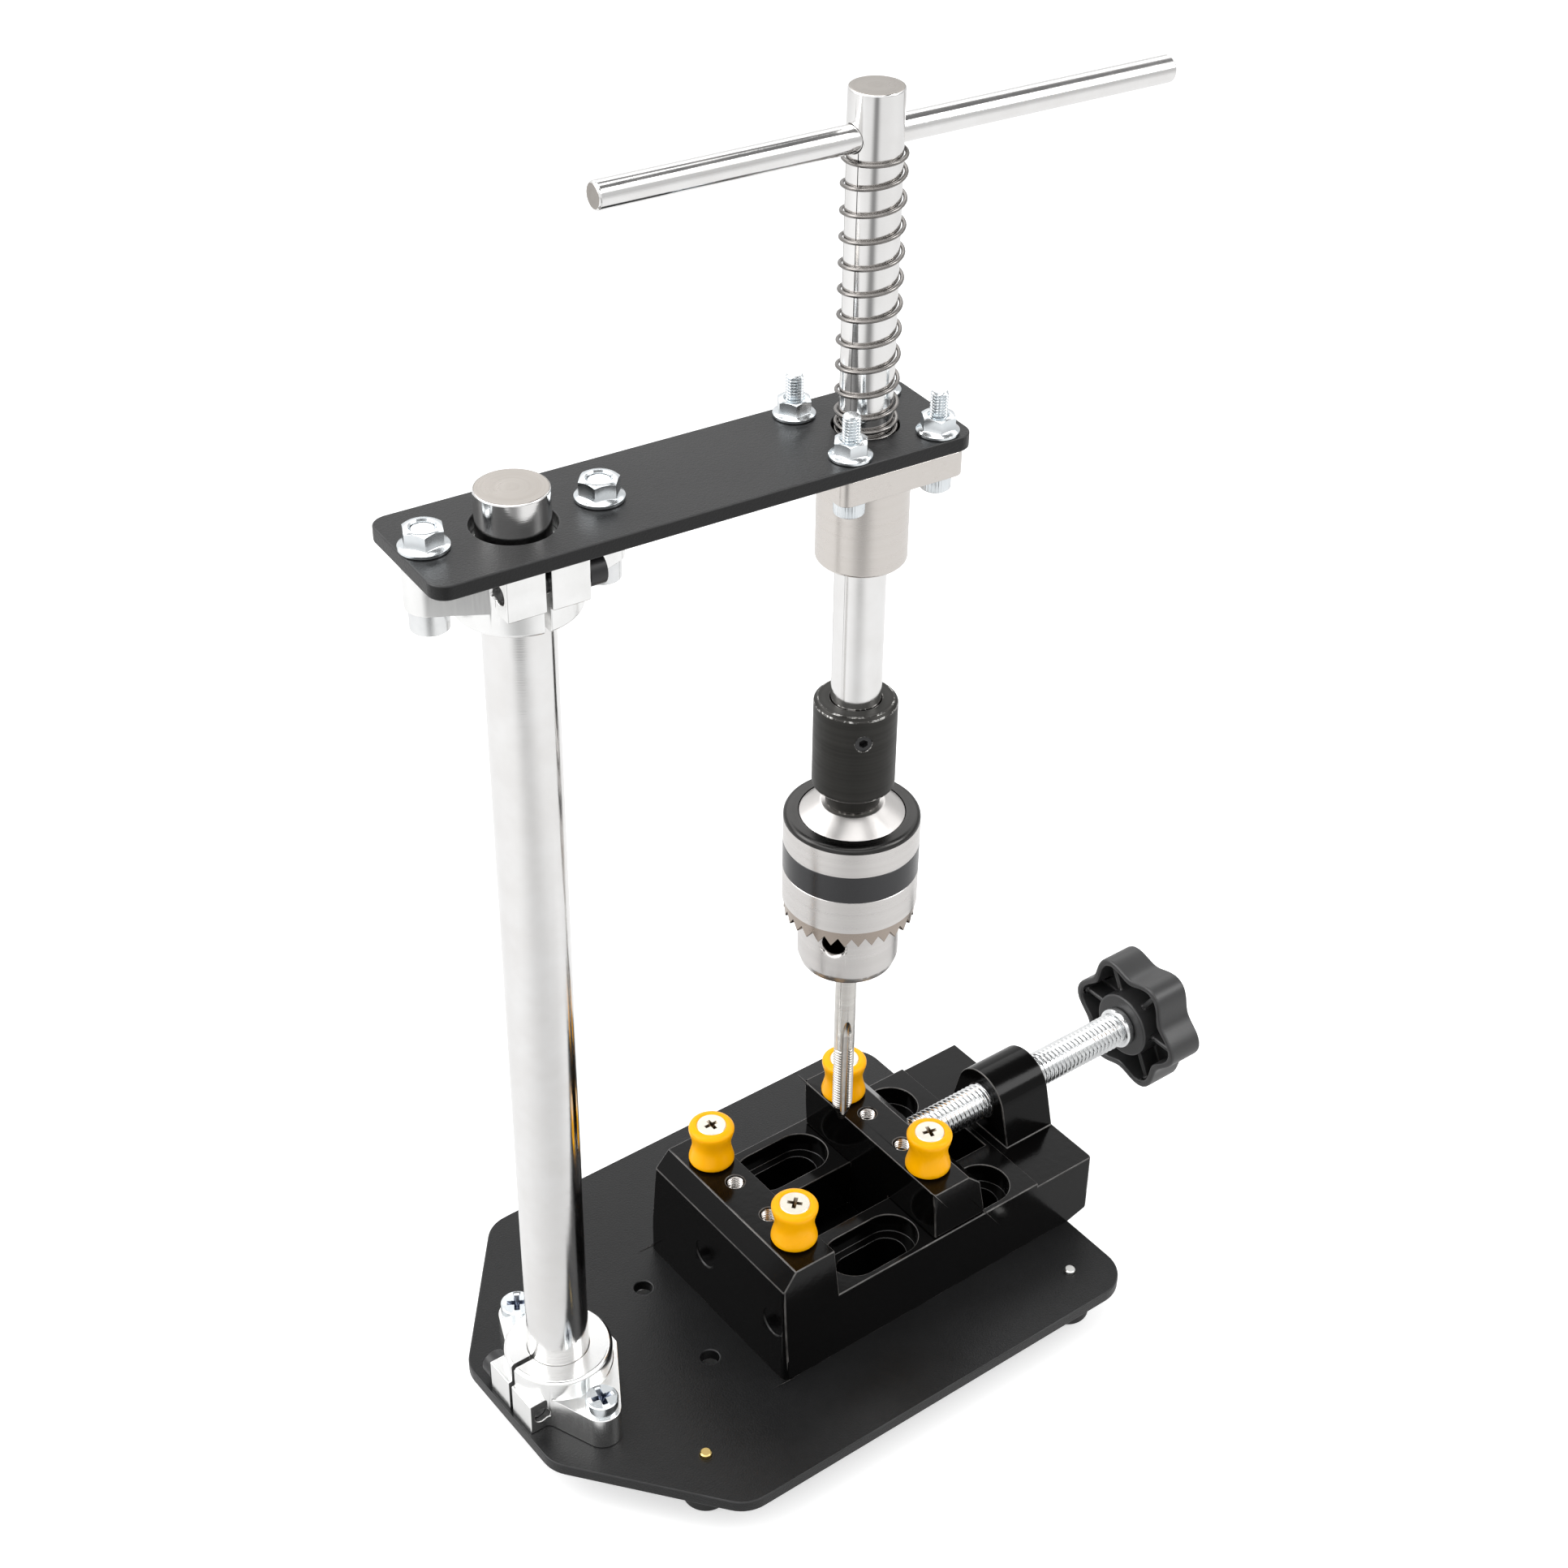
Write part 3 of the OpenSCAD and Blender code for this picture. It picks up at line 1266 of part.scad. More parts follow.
module knob() {
    color("Black") along_screw() rotate([0, 0, knob_turn]) difference() {
        union() {
            difference() {
                translate([0, 0, rim_start]) linear_extrude(knob_end - rim_start)
                    polygon(knob_outline(0));
                translate([0, 0, rim_start - hollow_deep]) linear_extrude(2 * hollow_deep)
                    polygon(knob_outline(rim_t));
            }
            for (i = [0 : lobes - 1]) rotate([0, 0, i * 360 / lobes])
                translate([hub_d / 4, -rib_t / 2, rim_start + rib_back])
                    cube([knob_r - rim_t / 2 - hub_d / 4, rib_t, hollow_deep]);
            translate([0, 0, knob_start]) cylinder(d = hub_d, h = rim_t + hollow_deep, $fn = fine);
        }
        translate([0, 0, knob_start - hub_d]) rotate_extrude($fn = fine)
            polygon([[0, 0], [screw_d / 2, 0],
                     [screw_d / 2, knob_end - knob_start - knob_wall + hub_d],
                     [0, knob_end - knob_start - knob_wall + hub_d]]);
    }
}

base_plate();
rubber_feet();
foot_screws();
lower_clamp();
lower_pinch_screw();
lower_flange_screws();
column();
arm_plate();
upper_clamp();
upper_pinch_screw();
upper_flange_screws();
upper_flange_nuts();
bearing_sleeve();
bearing_cage();
bearing_balls();
bearing_seals();
bearing_screws();
bearing_nuts();
return_spring();
spindle();
handle_bar();
coupler();
coupler_set_screw();
chuck_body();
chuck_sleeve();
chuck_ring();
chuck_jaw_a();
chuck_jaw_b();
chuck_jaw_c();
tap();
vise_body();
fixed_posts();
fixed_post_screws();
moving_jaw();
moving_posts();
moving_post_screws();
guide_plate();
guide_plate_screws();
keeper_pin();
lead_screw();
knob();
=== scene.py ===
import math
import bpy
import numpy as np
from mathutils import Matrix, Vector


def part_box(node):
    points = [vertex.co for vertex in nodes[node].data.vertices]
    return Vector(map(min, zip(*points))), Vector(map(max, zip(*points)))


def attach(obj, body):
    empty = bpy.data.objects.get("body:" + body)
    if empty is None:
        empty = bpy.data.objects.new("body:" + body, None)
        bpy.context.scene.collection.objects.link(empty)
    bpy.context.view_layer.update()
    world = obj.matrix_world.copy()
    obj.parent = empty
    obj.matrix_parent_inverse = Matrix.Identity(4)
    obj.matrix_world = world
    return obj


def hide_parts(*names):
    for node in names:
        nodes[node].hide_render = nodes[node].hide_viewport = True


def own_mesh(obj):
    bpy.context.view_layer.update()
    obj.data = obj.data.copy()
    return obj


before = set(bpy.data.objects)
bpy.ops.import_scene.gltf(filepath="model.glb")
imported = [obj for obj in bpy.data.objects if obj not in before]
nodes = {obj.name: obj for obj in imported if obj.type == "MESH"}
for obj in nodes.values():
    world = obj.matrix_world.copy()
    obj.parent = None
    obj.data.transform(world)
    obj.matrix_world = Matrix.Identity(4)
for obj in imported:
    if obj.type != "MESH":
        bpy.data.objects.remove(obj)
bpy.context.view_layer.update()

# The frame
# The machine's solids come in at their real size, in metres, each in its place.
scene = bpy.context.scene
scene.view_settings.view_transform = "Standard"


# The studio
# A pale floor under plain soft light, as a workshop catalogue shows a tool. The floor and the
# world read white to the camera and in the metal, but for the dark of the camera's own stand.
camera_turn = math.radians(-37.71)
camera_rise = math.radians(35.16)
camera_roll = math.radians(0.91)
camera_away = 0.58114
sensor_mm = 36
photo_px = 1932
focal_px = 3156.4
aim = Vector((-33.42, -19.44, 195)) / 1000
away = Vector((math.sin(camera_turn) * math.cos(camera_rise),
               -math.cos(camera_turn) * math.cos(camera_rise), math.sin(camera_rise)))
right = Vector((math.cos(camera_turn), math.sin(camera_turn), 0))
upward = away.cross(right)
tilted_right = right * math.cos(camera_roll) + upward * math.sin(camera_roll)
tilted_up = upward * math.cos(camera_roll) - right * math.sin(camera_roll)

camera_data = bpy.data.cameras.new("photo_camera")
camera_data.sensor_fit = "HORIZONTAL"
camera_data.sensor_width = sensor_mm
camera_data.lens = sensor_mm * focal_px / photo_px
camera_data.clip_start = 0.01
camera = bpy.data.objects.new("photo_camera", camera_data)
scene.collection.objects.link(camera)
camera_place = aim + away * camera_away
camera.matrix_world = Matrix((
    (tilted_right.x, tilted_up.x, away.x, camera_place.x),
    (tilted_right.y, tilted_up.y, away.y, camera_place.y),
    (tilted_right.z, tilted_up.z, away.z, camera_place.z),
    (0, 0, 0, 1)))
scene.camera = camera


def link(tree, output, socket):
    """Joins a node's output to a socket, or sets the socket where the value is plain."""
    if hasattr(output, "is_linked"):
        tree.links.new(output, socket)
    else:
        socket.default_value = output


def number(tree, operation, *values):
    """A Math node: the operation of one, two or three values, each plain or from a node."""
    made = tree.nodes.new("ShaderNodeMath")
    made.operation = operation
    for value, socket in zip(values, made.inputs):
        link(tree, value, socket)
    return made.outputs[0]


def product(tree, first, *others):
    """Values multiplied together."""
    for other in others:
        first = number(tree, "MULTIPLY", first, other)
    return first


def vector_math(tree, operation, first, second=(0, 0, 0)):
    """A Vector Math node of two vectors, which gives a number or a vector."""
    made = tree.nodes.new("ShaderNodeVectorMath")
    made.operation = operation
    link(tree, first, made.inputs[0])
    link(tree, second, made.inputs[1])
    gives_number = operation in ("DOT_PRODUCT", "DISTANCE", "LENGTH")
    return made.outputs["Value" if gives_number else "Vector"]


def spread(tree, value, low, high, start, end, smooth=False):
    """A value stretched from low..high to start..end and held there, evenly or smoothly."""
    ramp = tree.nodes.new("ShaderNodeMapRange")
    ramp.interpolation_type = "SMOOTHSTEP" if smooth else "LINEAR"
    link(tree, value, ramp.inputs["Value"])
    for name, given in zip(("From Min", "From Max", "To Min", "To Max"), (low, high, start, end)):
        ramp.inputs[name].default_value = given
    return ramp.outputs["Result"]


def slope_of(tree, vector, direction, low, high, start, end):
    """How far a vector points along a direction, stretched smoothly as spread() does it."""
    along = vector_math(tree, "DOT_PRODUCT", vector, direction)
    return spread(tree, along, low, high, start, end, smooth=True)


world = bpy.data.worlds.new("studio")
scene.world = world
world.use_nodes = True
tree = world.node_tree
tree.nodes.clear()
direction = tree.nodes.new("ShaderNodeTexCoord").outputs["Generated"]
rays = tree.nodes.new("ShaderNodeLightPath")
# metal and gloss mirror a backdrop that is dimmer on the right and brightest 30 to 41 degrees up,
# and that ends in a dark ceiling at about 51 degrees
right_side, ceiling, bright_belt, soft_light = 0.65, 0.1, 2.5, 0.72
mirrored = product(tree, slope_of(tree, direction, tuple(-right), -0.9, 0.4, right_side, 1.0),
                   slope_of(tree, direction, (0, 0, 1), 0.66, 0.78, 1.0, ceiling),
                   slope_of(tree, direction, (0, 0, 1), 0.4, 0.5, 1.0, bright_belt))
mirror_or_soft = tree.nodes.new("ShaderNodeMix")
mirror_or_soft.data_type = "FLOAT"
link(tree, rays.outputs["Is Glossy Ray"], mirror_or_soft.inputs["Factor"])
link(tree, soft_light, mirror_or_soft.inputs["A"])
link(tree, mirrored, mirror_or_soft.inputs["B"])
strength = number(tree, "MAXIMUM", mirror_or_soft.outputs["Result"], rays.outputs["Is Camera Ray"])
glow = tree.nodes.new("ShaderNodeBackground")
glow.inputs["Color"].default_value = (1, 1, 1, 1)
link(tree, strength, glow.inputs["Strength"])
tree.links.new(glow.outputs[0], tree.nodes.new("ShaderNodeOutputWorld").inputs["Surface"])

# three softboxes face the machine's middle: how far across, towards the camera and up each
# stands from it, its width and height, and its watts
middle = Vector((0, 0, 0.16))
for name, across, nearer, up, width, height, watts in (
        ("left_softbox", -0.95, 0.25, 0.55, 0.9, 1.1, 9),
        ("top_softbox", -0.1, 0, 1.25, 1.0, 1.0, 7),
        ("right_softbox", 1.0, 0.2, 0.75, 0.4, 0.8, 5)):
    lamp = bpy.data.lights.new(name, "AREA")
    lamp.shape = "RECTANGLE"
    lamp.size, lamp.size_y, lamp.energy = width, height, watts
    softbox = bpy.data.objects.new(name, lamp)
    scene.collection.objects.link(softbox)
    softbox.location = middle + right * across + away * nearer + Vector((0, 0, up))
    facing = (middle - softbox.location).to_track_quat("-Z", "Y")
    softbox.rotation_euler = facing.to_euler()

floor_mesh = bpy.data.meshes.new("studio_floor")
floor_half = 6
floor_corners = [(x * floor_half, y * floor_half, 0)
                 for x, y in ((-1, -1), (1, -1), (1, 1), (-1, 1))]
floor_mesh.from_pydata(floor_corners, [], [(0, 1, 2, 3)])
floor = bpy.data.objects.new("studio_floor", floor_mesh)
scene.collection.objects.link(floor)
paper = bpy.data.materials.new("studio_paper")
paper.use_nodes = True
tree = paper.node_tree
tree.nodes.clear()
spot = tree.nodes.new("ShaderNodeTexCoord").outputs["Object"]
rays = tree.nodes.new("ShaderNodeLightPath")
toward = Vector((away.x, away.y, 0)).normalized()


def strip(tree, reach, from_way, to_way, half_inner, half_outer, depth):
    """A dark strip of the paper towards the camera that starts over from_way..to_way and fades
    between two half widths."""
    lateral = slope_of(tree, spot, tuple(right), -half_outer, -half_inner, 0.0, 1.0)
    other = slope_of(tree, spot, tuple(right), half_inner, half_outer, 1.0, 0.0)
    start = slope_of(tree, spot, tuple(reach), from_way, to_way, 0.0, depth)
    return product(tree, lateral, other, start)


# the camera's stand and its dim surroundings, as the metal mirrors them
dark = number(tree, "ADD", strip(tree, toward, 0.02, 0.15, 0.01, 0.26, 0.24),
              strip(tree, toward, 0.42, 0.5, 0.04, 0.34, 0.45))
mirror = rays.outputs["Is Glossy Ray"]
shade = number(tree, "SUBTRACT", 1, product(tree, dark, mirror))
# painted shade: no extra white where the paper is seen through the plate's spare holes
spare_holes, spare_reach = (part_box("column")[0][0] + 0.045, 0, 0), 0.028
open_paper = number(tree, "GREATER_THAN", vector_math(tree, "DISTANCE", spot, spare_holes),
                    spare_reach)
paper_white, less_in_metal, lift_seen, lift_in_metal = 0.82, 0.42, 0.52, 0.46
matte = tree.nodes.new("ShaderNodeBsdfDiffuse")
white = number(tree, "SUBTRACT", paper_white, product(tree, mirror, less_in_metal))
link(tree, product(tree, shade, white), matte.inputs["Color"])
lift = tree.nodes.new("ShaderNodeEmission")
lift.inputs["Color"].default_value = (1, 1, 1, 1)
seen = number(tree, "MAXIMUM", product(tree, rays.outputs["Is Camera Ray"], lift_seen),
              product(tree, mirror, lift_in_metal))
link(tree, product(tree, seen, shade, open_paper), lift.inputs["Strength"])
both = tree.nodes.new("ShaderNodeAddShader")
tree.links.new(matte.outputs[0], both.inputs[0])
tree.links.new(lift.outputs[0], both.inputs[1])
tree.links.new(both.outputs[0], tree.nodes.new("ShaderNodeOutputMaterial").inputs["Surface"])
floor_mesh.materials.append(paper)


# The base plate
# A 3.5 mm steel plate with two cut corners, under a fine-grained black powder coat. A paler
# painted highlight runs along the cut edges.
coat_colour = (0.005, 0.0051, 0.0054, 1)


def soften(node, radius, segments=2, edge_material=None):
    """Rounds a solid's edges: its loose triangles are welded and flat ones merged for show, every
    edge sharper than the angle gets an arc of the radius, and flat faces keep a flat shading."""
    weld_within, flat_within, sharp_from = 1e-6, math.radians(0.6), math.radians(28)
    made = nodes[node]
    made.data.polygons.foreach_set("use_smooth", np.ones(len(made.data.polygons), bool))
    weld = made.modifiers.new("weld", "WELD")
    weld.merge_threshold = weld_within
    flat = made.modifiers.new("flat", "DECIMATE")
    flat.decimate_type, flat.angle_limit = "DISSOLVE", flat_within
    bevel = made.modifiers.new("edge", "BEVEL")
    bevel.width, bevel.segments, bevel.limit_method = radius, segments, "ANGLE"
    bevel.angle_limit = sharp_from
    bevel.use_clamp_overlap = False
    bevel.miter_outer = "MITER_ARC"
    bevel.offset_type = "OFFSET"
    # the edge material paints the bevels: a painted highlight on the plates and the vise, rubbed
    # wear on the coupler
    if edge_material is not None:
        made.data.materials.append(edge_material)
        bevel.material = len(made.data.materials) - 1
    normals = made.modifiers.new("shade", "WEIGHTED_NORMAL")
    normals.mode = "FACE_AREA_WITH_ANGLE"
    normals.weight = 100


def node_group(name, inputs, outputs):
    """An empty shader group with named sockets, each (label, socket type, value)."""
    made = bpy.data.node_groups.new(name, "ShaderNodeTree")
    for label, kind, value in inputs:
        socket = made.interface.new_socket(label, in_out="INPUT", socket_type=kind)
        if value is not None:
            socket.default_value = value
    for label, kind in outputs:
        made.interface.new_socket(label, in_out="OUTPUT", socket_type=kind)
    return made, made.nodes.new("NodeGroupInput"), made.nodes.new("NodeGroupOutput")


def noise(tree, vector, scale, detail=2.0, roughness=0.5):
    """A Noise Texture's value on a vector at a scale in turns per metre."""
    made = tree.nodes.new("ShaderNodeTexNoise")
    link(tree, vector, made.inputs["Vector"])
    link(tree, scale, made.inputs["Scale"])
    made.inputs["Detail"].default_value = detail
    made.inputs["Roughness"].default_value = roughness
    return made.outputs["Fac"]


# a fine pebbled skin with a slow change from place to place, as powder coat and castings have
pebbled, ends, out = node_group(
    "pebbled_skin",
    [("Vector", "NodeSocketVector", None), ("Pebbles per metre", "NodeSocketFloat", 2600.0)],
    [("Height", "NodeSocketFloat"), ("Patches", "NodeSocketFloat")])
fine_part = noise(pebbled, ends.outputs["Vector"], ends.outputs["Pebbles per metre"], 3.0, 0.6)
slow_scale = number(pebbled, "MULTIPLY", ends.outputs["Pebbles per metre"], 0.02)
link(pebbled, fine_part, out.inputs["Height"])
link(pebbled, noise(pebbled, ends.outputs["Vector"], slow_scale, 4.0, 0.6), out.inputs["Patches"])


def opened(material):
    """A material's tree, its Principled shader and its Object coordinates."""
    tree = material.node_tree
    where = tree.nodes.new("ShaderNodeTexCoord").outputs["Object"]
    return tree, tree.nodes["Principled BSDF"], where


def new_material(name, colour, metallic, roughness):
    """A material, its tree, its Principled shader and its Object coordinates."""
    made = bpy.data.materials.new(name)
    made.use_nodes = True
    tree, shader, where = opened(made)
    shader.inputs["Base Color"].default_value = colour
    shader.inputs["Metallic"].default_value = metallic
    shader.inputs["Roughness"].default_value = roughness
    return made, tree, shader, where


def use_group(tree, made, **values):
    """Places a group in a tree and sets its inputs by name, with spaces for underscores."""
    placed = tree.nodes.new("ShaderNodeGroup")
    placed.node_tree = made
    for name, value in values.items():
        link(tree, value, placed.inputs[name.replace("_", " ")])
    return placed


def bump(tree, shader, height, depth):
    """Feeds a height, in shares of a depth in metres, to a shader's normal."""
    made = tree.nodes.new("ShaderNodeBump")
    made.inputs["Distance"].default_value = depth
    link(tree, height, made.inputs["Height"])
    link(tree, made.outputs["Normal"], shader.inputs["Normal"])


def tint(tree, factor, first, second):
    """A colour between two, by a factor."""
    made = tree.nodes.new("ShaderNodeMix")
    made.data_type = "RGBA"
    link(tree, factor, made.inputs[0])
    link(tree, first, made.inputs[6])
    link(tree, second, made.inputs[7])
    return made.outputs[2]


def unfold(tree, value, start=0.0, end=1.0):
    """A noise's value, most of which lies in the range below, stretched to start..end."""
    usual_low, usual_high = 0.35, 0.65
    return spread(tree, value, usual_low, usual_high, start, end)


def pebbled_material(name, colour, other, roughness, pebbles, depth, gloss=0.5):
    """A painted skin: two near colours in slow patches, roughness between two values, and fine
    pebbles, so many to a metre and of a depth in metres."""
    made, tree, shader, where = new_material(name, colour, 0.0, roughness[0])
    skin = use_group(tree, pebbled, Vector=where, Pebbles_per_metre=pebbles)
    link(tree, tint(tree, unfold(tree, skin.outputs["Patches"]), colour, other),
         shader.inputs["Base Color"])
    link(tree, spread(tree, skin.outputs["Patches"], 0.3, 0.7, *roughness),
         shader.inputs["Roughness"])
    bump(tree, shader, skin.outputs["Height"], depth)
    shader.inputs["Specular IOR Level"].default_value = gloss
    return made


def finish_with(material, *names):
    """Gives nodes one material in place of the one they came with."""
    for name in names:
        nodes[name].data.materials.clear()
        nodes[name].data.materials.append(material)


powder_coat = pebbled_material("powder_coat", coat_colour, (0.008, 0.0081, 0.0085, 1),
                               roughness=(0.3, 0.38), pebbles=2000.0, depth=0.00009, gloss=0.32)
# painted highlight: a paler coat on the plates' bevels stands in for light caught along the edges
edge_highlight_coat = pebbled_material("edge_highlight_coat", (0.02, 0.02, 0.021, 1), coat_colour,
                             roughness=(0.34, 0.42), pebbles=2600.0, depth=0.00003)
finish_with(powder_coat, "base_plate", "arm_plate")
soften("base_plate", radius=0.00035, segments=3, edge_material=edge_highlight_coat)
soften("arm_plate", radius=0.00035, segments=3, edge_material=edge_highlight_coat)


# The rubber feet and their screws
# Four tapered feet of black rubber, each held from below by a small screw whose end stands just
# through the plate: yellow passivated near the column and bright steel at the far end.
rubber = pebbled_material("foot_rubber", (0.012, 0.012, 0.012, 1), (0.018, 0.018, 0.018, 1),
                          roughness=(0.6, 0.75), pebbles=1800.0, depth=0.00004)
finish_with(rubber, "rubber_feet")
soften("rubber_feet", radius=0.0003)


def parts_of(tree, vector):
    """The x, y and z of a vector."""
    made = tree.nodes.new("ShaderNodeSeparateXYZ")
    link(tree, vector, made.inputs[0])
    return tuple(made.outputs)


# turning marks: rings about the local z axis on walls and end faces alike
turned, ends, out = node_group(
    "turning_marks",
    [("Vector", "NodeSocketVector", None), ("Rings per metre", "NodeSocketFloat", 4000.0),
     ("Waver", "NodeSocketFloat", 0.15)],
    [("Height", "NodeSocketFloat"), ("Streaks", "NodeSocketFloat"), ("Smudges", "NodeSocketFloat")])
x, y, z = parts_of(turned, ends.outputs["Vector"])
density = ends.outputs["Rings per metre"]
far = number(turned, "SQRT", number(turned, "ADD", product(turned, x, x), product(turned, y, y)))
rings = turned.nodes.new("ShaderNodeCombineXYZ")
link(turned, product(turned, far, density), rings.inputs[0])
link(turned, product(turned, number(turned, "ARCTAN2", y, x), ends.outputs["Waver"]),
     rings.inputs[1])
link(turned, product(turned, z, density), rings.inputs[2])
link(turned, noise(turned, rings.outputs[0], 1.0, 2.0, 0.6), out.inputs["Height"])
link(turned, noise(turned, rings.outputs[0], 0.23, 3.0, 0.6), out.inputs["Streaks"])
link(turned, noise(turned, ends.outputs["Vector"], 90.0, 4.0, 0.6), out.inputs["Smudges"])


def on_axis(tree, where, centre, turn=(0, 0, 0)):
    """Object coordinates moved so that a piece's axis is the local z axis: centre in metres,
    then the turn in radians."""
    shifted = vector_math(tree, "SUBTRACT", where, centre)
    if turn == (0, 0, 0):
        return shifted
    rotated = tree.nodes.new("ShaderNodeVectorRotate")
    rotated.rotation_type = "EULER_XYZ"
    rotated.invert = True
    link(tree, shifted, rotated.inputs["Vector"])
    rotated.inputs["Rotation"].default_value = turn
    return rotated.outputs[0]


def mean_of(tree, first, second):
    """The mean of two values."""
    return number(tree, "ADD", product(tree, first, 0.5), product(tree, second, 0.5))


def turned_metal(name, bright, dull, roughness, centre, rings, depth):
    """Metal off a lathe or grinder: bright and dull streaks round its axis, roughness between two
    values with smudges, and fine rings, so many to a metre and of a depth in metres."""
    made, tree, shader, where = new_material(name, bright, 1.0, roughness[0])
    marks = use_group(tree, turned, Vector=on_axis(tree, where, centre), Rings_per_metre=rings,
                      Waver=0.15)
    link(tree, tint(tree, spread(tree, marks.outputs["Streaks"], 0.3, 0.7, 0.0, 1.0), bright,
                    dull), shader.inputs["Base Color"])
    mixed = mean_of(tree, marks.outputs["Streaks"], marks.outputs["Smudges"])
    link(tree, unfold(tree, mixed, *roughness), shader.inputs["Roughness"])
    bump(tree, shader, marks.outputs["Height"], depth)
    return made


def centre_of(name):
    """The middle of a node's box, in metres."""
    low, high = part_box(name)
    return tuple((Vector(low) + Vector(high)) / 2)


# the two screws near the column are yellow and the far two are bare
foot_yellow, foot_bare = (0.72, 0.53, 0.2, 1), (0.7, 0.7, 0.68, 1)
foot_metal, tree, shader, where = new_material("foot_screw_metal", foot_yellow, 1.0, 0.28)
at_far_end = number(tree, "GREATER_THAN", parts_of(tree, where)[0], centre_of("base_plate")[0])
link(tree, tint(tree, at_far_end, foot_yellow, foot_bare), shader.inputs["Base Color"])
finish_with(foot_metal, "foot_screws")


# The column
# A ground and polished 16 mm steel bar, its upper end faced on a lathe and lightly chamfered.
def ground_bar(name, centre, half_length, turn=(0, 0, 0)):
    """A polished bar with faint grinding marks, its two end faces browner and faced in rings."""
    side_bright, side_dull = (0.83, 0.825, 0.82, 1), (0.79, 0.78, 0.77, 1)
    face_bright, face_dull = (0.37, 0.345, 0.32, 1), (0.34, 0.315, 0.29, 1)
    side_roughness, face_rougher, face_smoother = (0.1, 0.16), 0.17, 0.55
    face_depth, grinding_depth = 0.0001, 8e-6
    made, tree, shader, where = new_material(name, side_bright, 1.0, side_roughness[0])
    local = on_axis(tree, where, centre, turn)
    marks = use_group(tree, turned, Vector=local, Rings_per_metre=5200.0, Waver=0.4)
    at_end = number(tree, "GREATER_THAN", number(tree, "ABSOLUTE", parts_of(tree, local)[2]),
                    half_length - face_depth)
    side = tint(tree, unfold(tree, marks.outputs["Smudges"]), side_bright, side_dull)
    face = tint(tree, unfold(tree, marks.outputs["Streaks"]), face_bright, face_dull)
    link(tree, tint(tree, at_end, side, face), shader.inputs["Base Color"])
    polish = unfold(tree, marks.outputs["Smudges"], *side_roughness)
    link(tree, number(tree, "ADD", polish, product(tree, at_end, face_rougher)),
         shader.inputs["Roughness"])
    grinding = number(tree, "SUBTRACT", 1.0, product(tree, at_end, face_smoother))
    bump(tree, shader, product(tree, marks.outputs["Height"], grinding), grinding_depth)
    return made


def half_of(name, axis):
    """Half of a node's length along a row axis, in metres."""
    low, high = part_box(name)
    return (high[axis] - low[axis]) / 2


column_steel = ground_bar("column_steel", centre_of("column"), half_of("column", 2))
finish_with(column_steel, "column")
soften("column", radius=0.0002)


# The column clamps
# Two split flanges machined from aluminium bar, bright, with fine milling marks. The lower one
# stands on the base plate and the upper one hangs under the arm.
def milled_metal(name, bright, dull, roughness, scale=900.0, stretch=(1, 1, 1)):
    """Machined or plated metal: scratches drawn out by the stretch, soft stains, and roughness
    between two values."""
    made, tree, shader, where = new_material(name, bright, 1.0, roughness[0])
    drawn = vector_math(tree, "MULTIPLY", where, stretch)
    scratch = noise(tree, drawn, scale * 3, 2.0, 0.6)
    stain = noise(tree, where, scale * 0.2, 4.0, 0.65)
    link(tree, tint(tree, spread(tree, stain, 0.35, 0.7, 0.0, 1.0), bright, dull),
         shader.inputs["Base Color"])
    link(tree, unfold(tree, mean_of(tree, scratch, stain), *roughness), shader.inputs["Roughness"])
    bump(tree, shader, scratch, depth=2e-6)
    return made


clamp_metal = milled_metal("clamp_aluminium", (0.93, 0.93, 0.925, 1), (0.87, 0.87, 0.86, 1),
                           roughness=(0.17, 0.26), scale=700.0, stretch=(1, 1, 0.06))
finish_with(clamp_metal, "lower_clamp", "upper_clamp")
soften("lower_clamp", radius=0.0003)
soften("upper_clamp", radius=0.0003)


# The clamp screws
# Black oxide cap screws pinch the split lugs. Zinc-plated cross-recessed screws hold the lower
# clamp to the plate, and cap screws with flange nuts hold the upper one to the arm.
mm = 0.001


def lathe(rings, around, capped=True):
    """Rings of (radius, height), each a number or one value per step around, as the points
    (radius cos t, radius sin t, height) and the faces between them, with a face at each end."""
    t = 2 * np.pi * np.arange(around) / around
    points = np.array([np.stack(np.broadcast_arrays(radius * np.cos(t), radius * np.sin(t), height),
                                -1) for radius, height in rings]).reshape(-1, 3)
    index = np.arange(len(rings) * around).reshape(len(rings), around)
    beside = np.roll(index, -1, axis=1)
    faces = np.stack([index[:-1], beside[:-1], beside[1:], index[1:]], -1).reshape(-1, 4).tolist()
    if capped:
        faces += [index[0, ::-1].tolist(), index[-1].tolist()]
    return points, faces


def put(shape, place, turn=((1, 0, 0), (0, 1, 0), (0, 0, 1))):
    """A shape with its points turned by a matrix and moved to a place."""
    points, faces = shape
    return points @ np.array(turn).T + np.array(place), faces


def joined(shapes):
    """Several shapes as one: all their points, and their faces numbered on."""
    points, faces, start = [], [], 0
    for corners, sides in shapes:
        points.append(corners)
        faces += [[corner + start for corner in side] for side in sides]
        start += len(corners)
    return np.concatenate(points), faces


def new_piece(name, shape, material, body, stands_for=(), sharp=35, pits=None):
    """A shape as a smooth piece of the machine, in mm, that rides a body for the nodes it
    stands for. Edges sharper than the angle stay crisp. The pits say how deep in a recess each
    point lies, from 0 to 1."""
    points, faces = shape
    mesh = bpy.data.meshes.new(name)
    mesh.from_pydata((points * mm).tolist(), [], faces)
    mesh.polygons.foreach_set("use_smooth", np.ones(len(faces), bool))
    mesh.set_sharp_from_angle(angle=math.radians(sharp))
    mesh.materials.append(material)
    if pits is not None:
        mesh.attributes.new("pit", "FLOAT", "POINT").data.foreach_set("value", pits)
    made = bpy.data.objects.new(name, mesh)
    scene.collection.objects.link(made)
    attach(made, body)
    if stands_for:
        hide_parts(*stands_for)
    return made


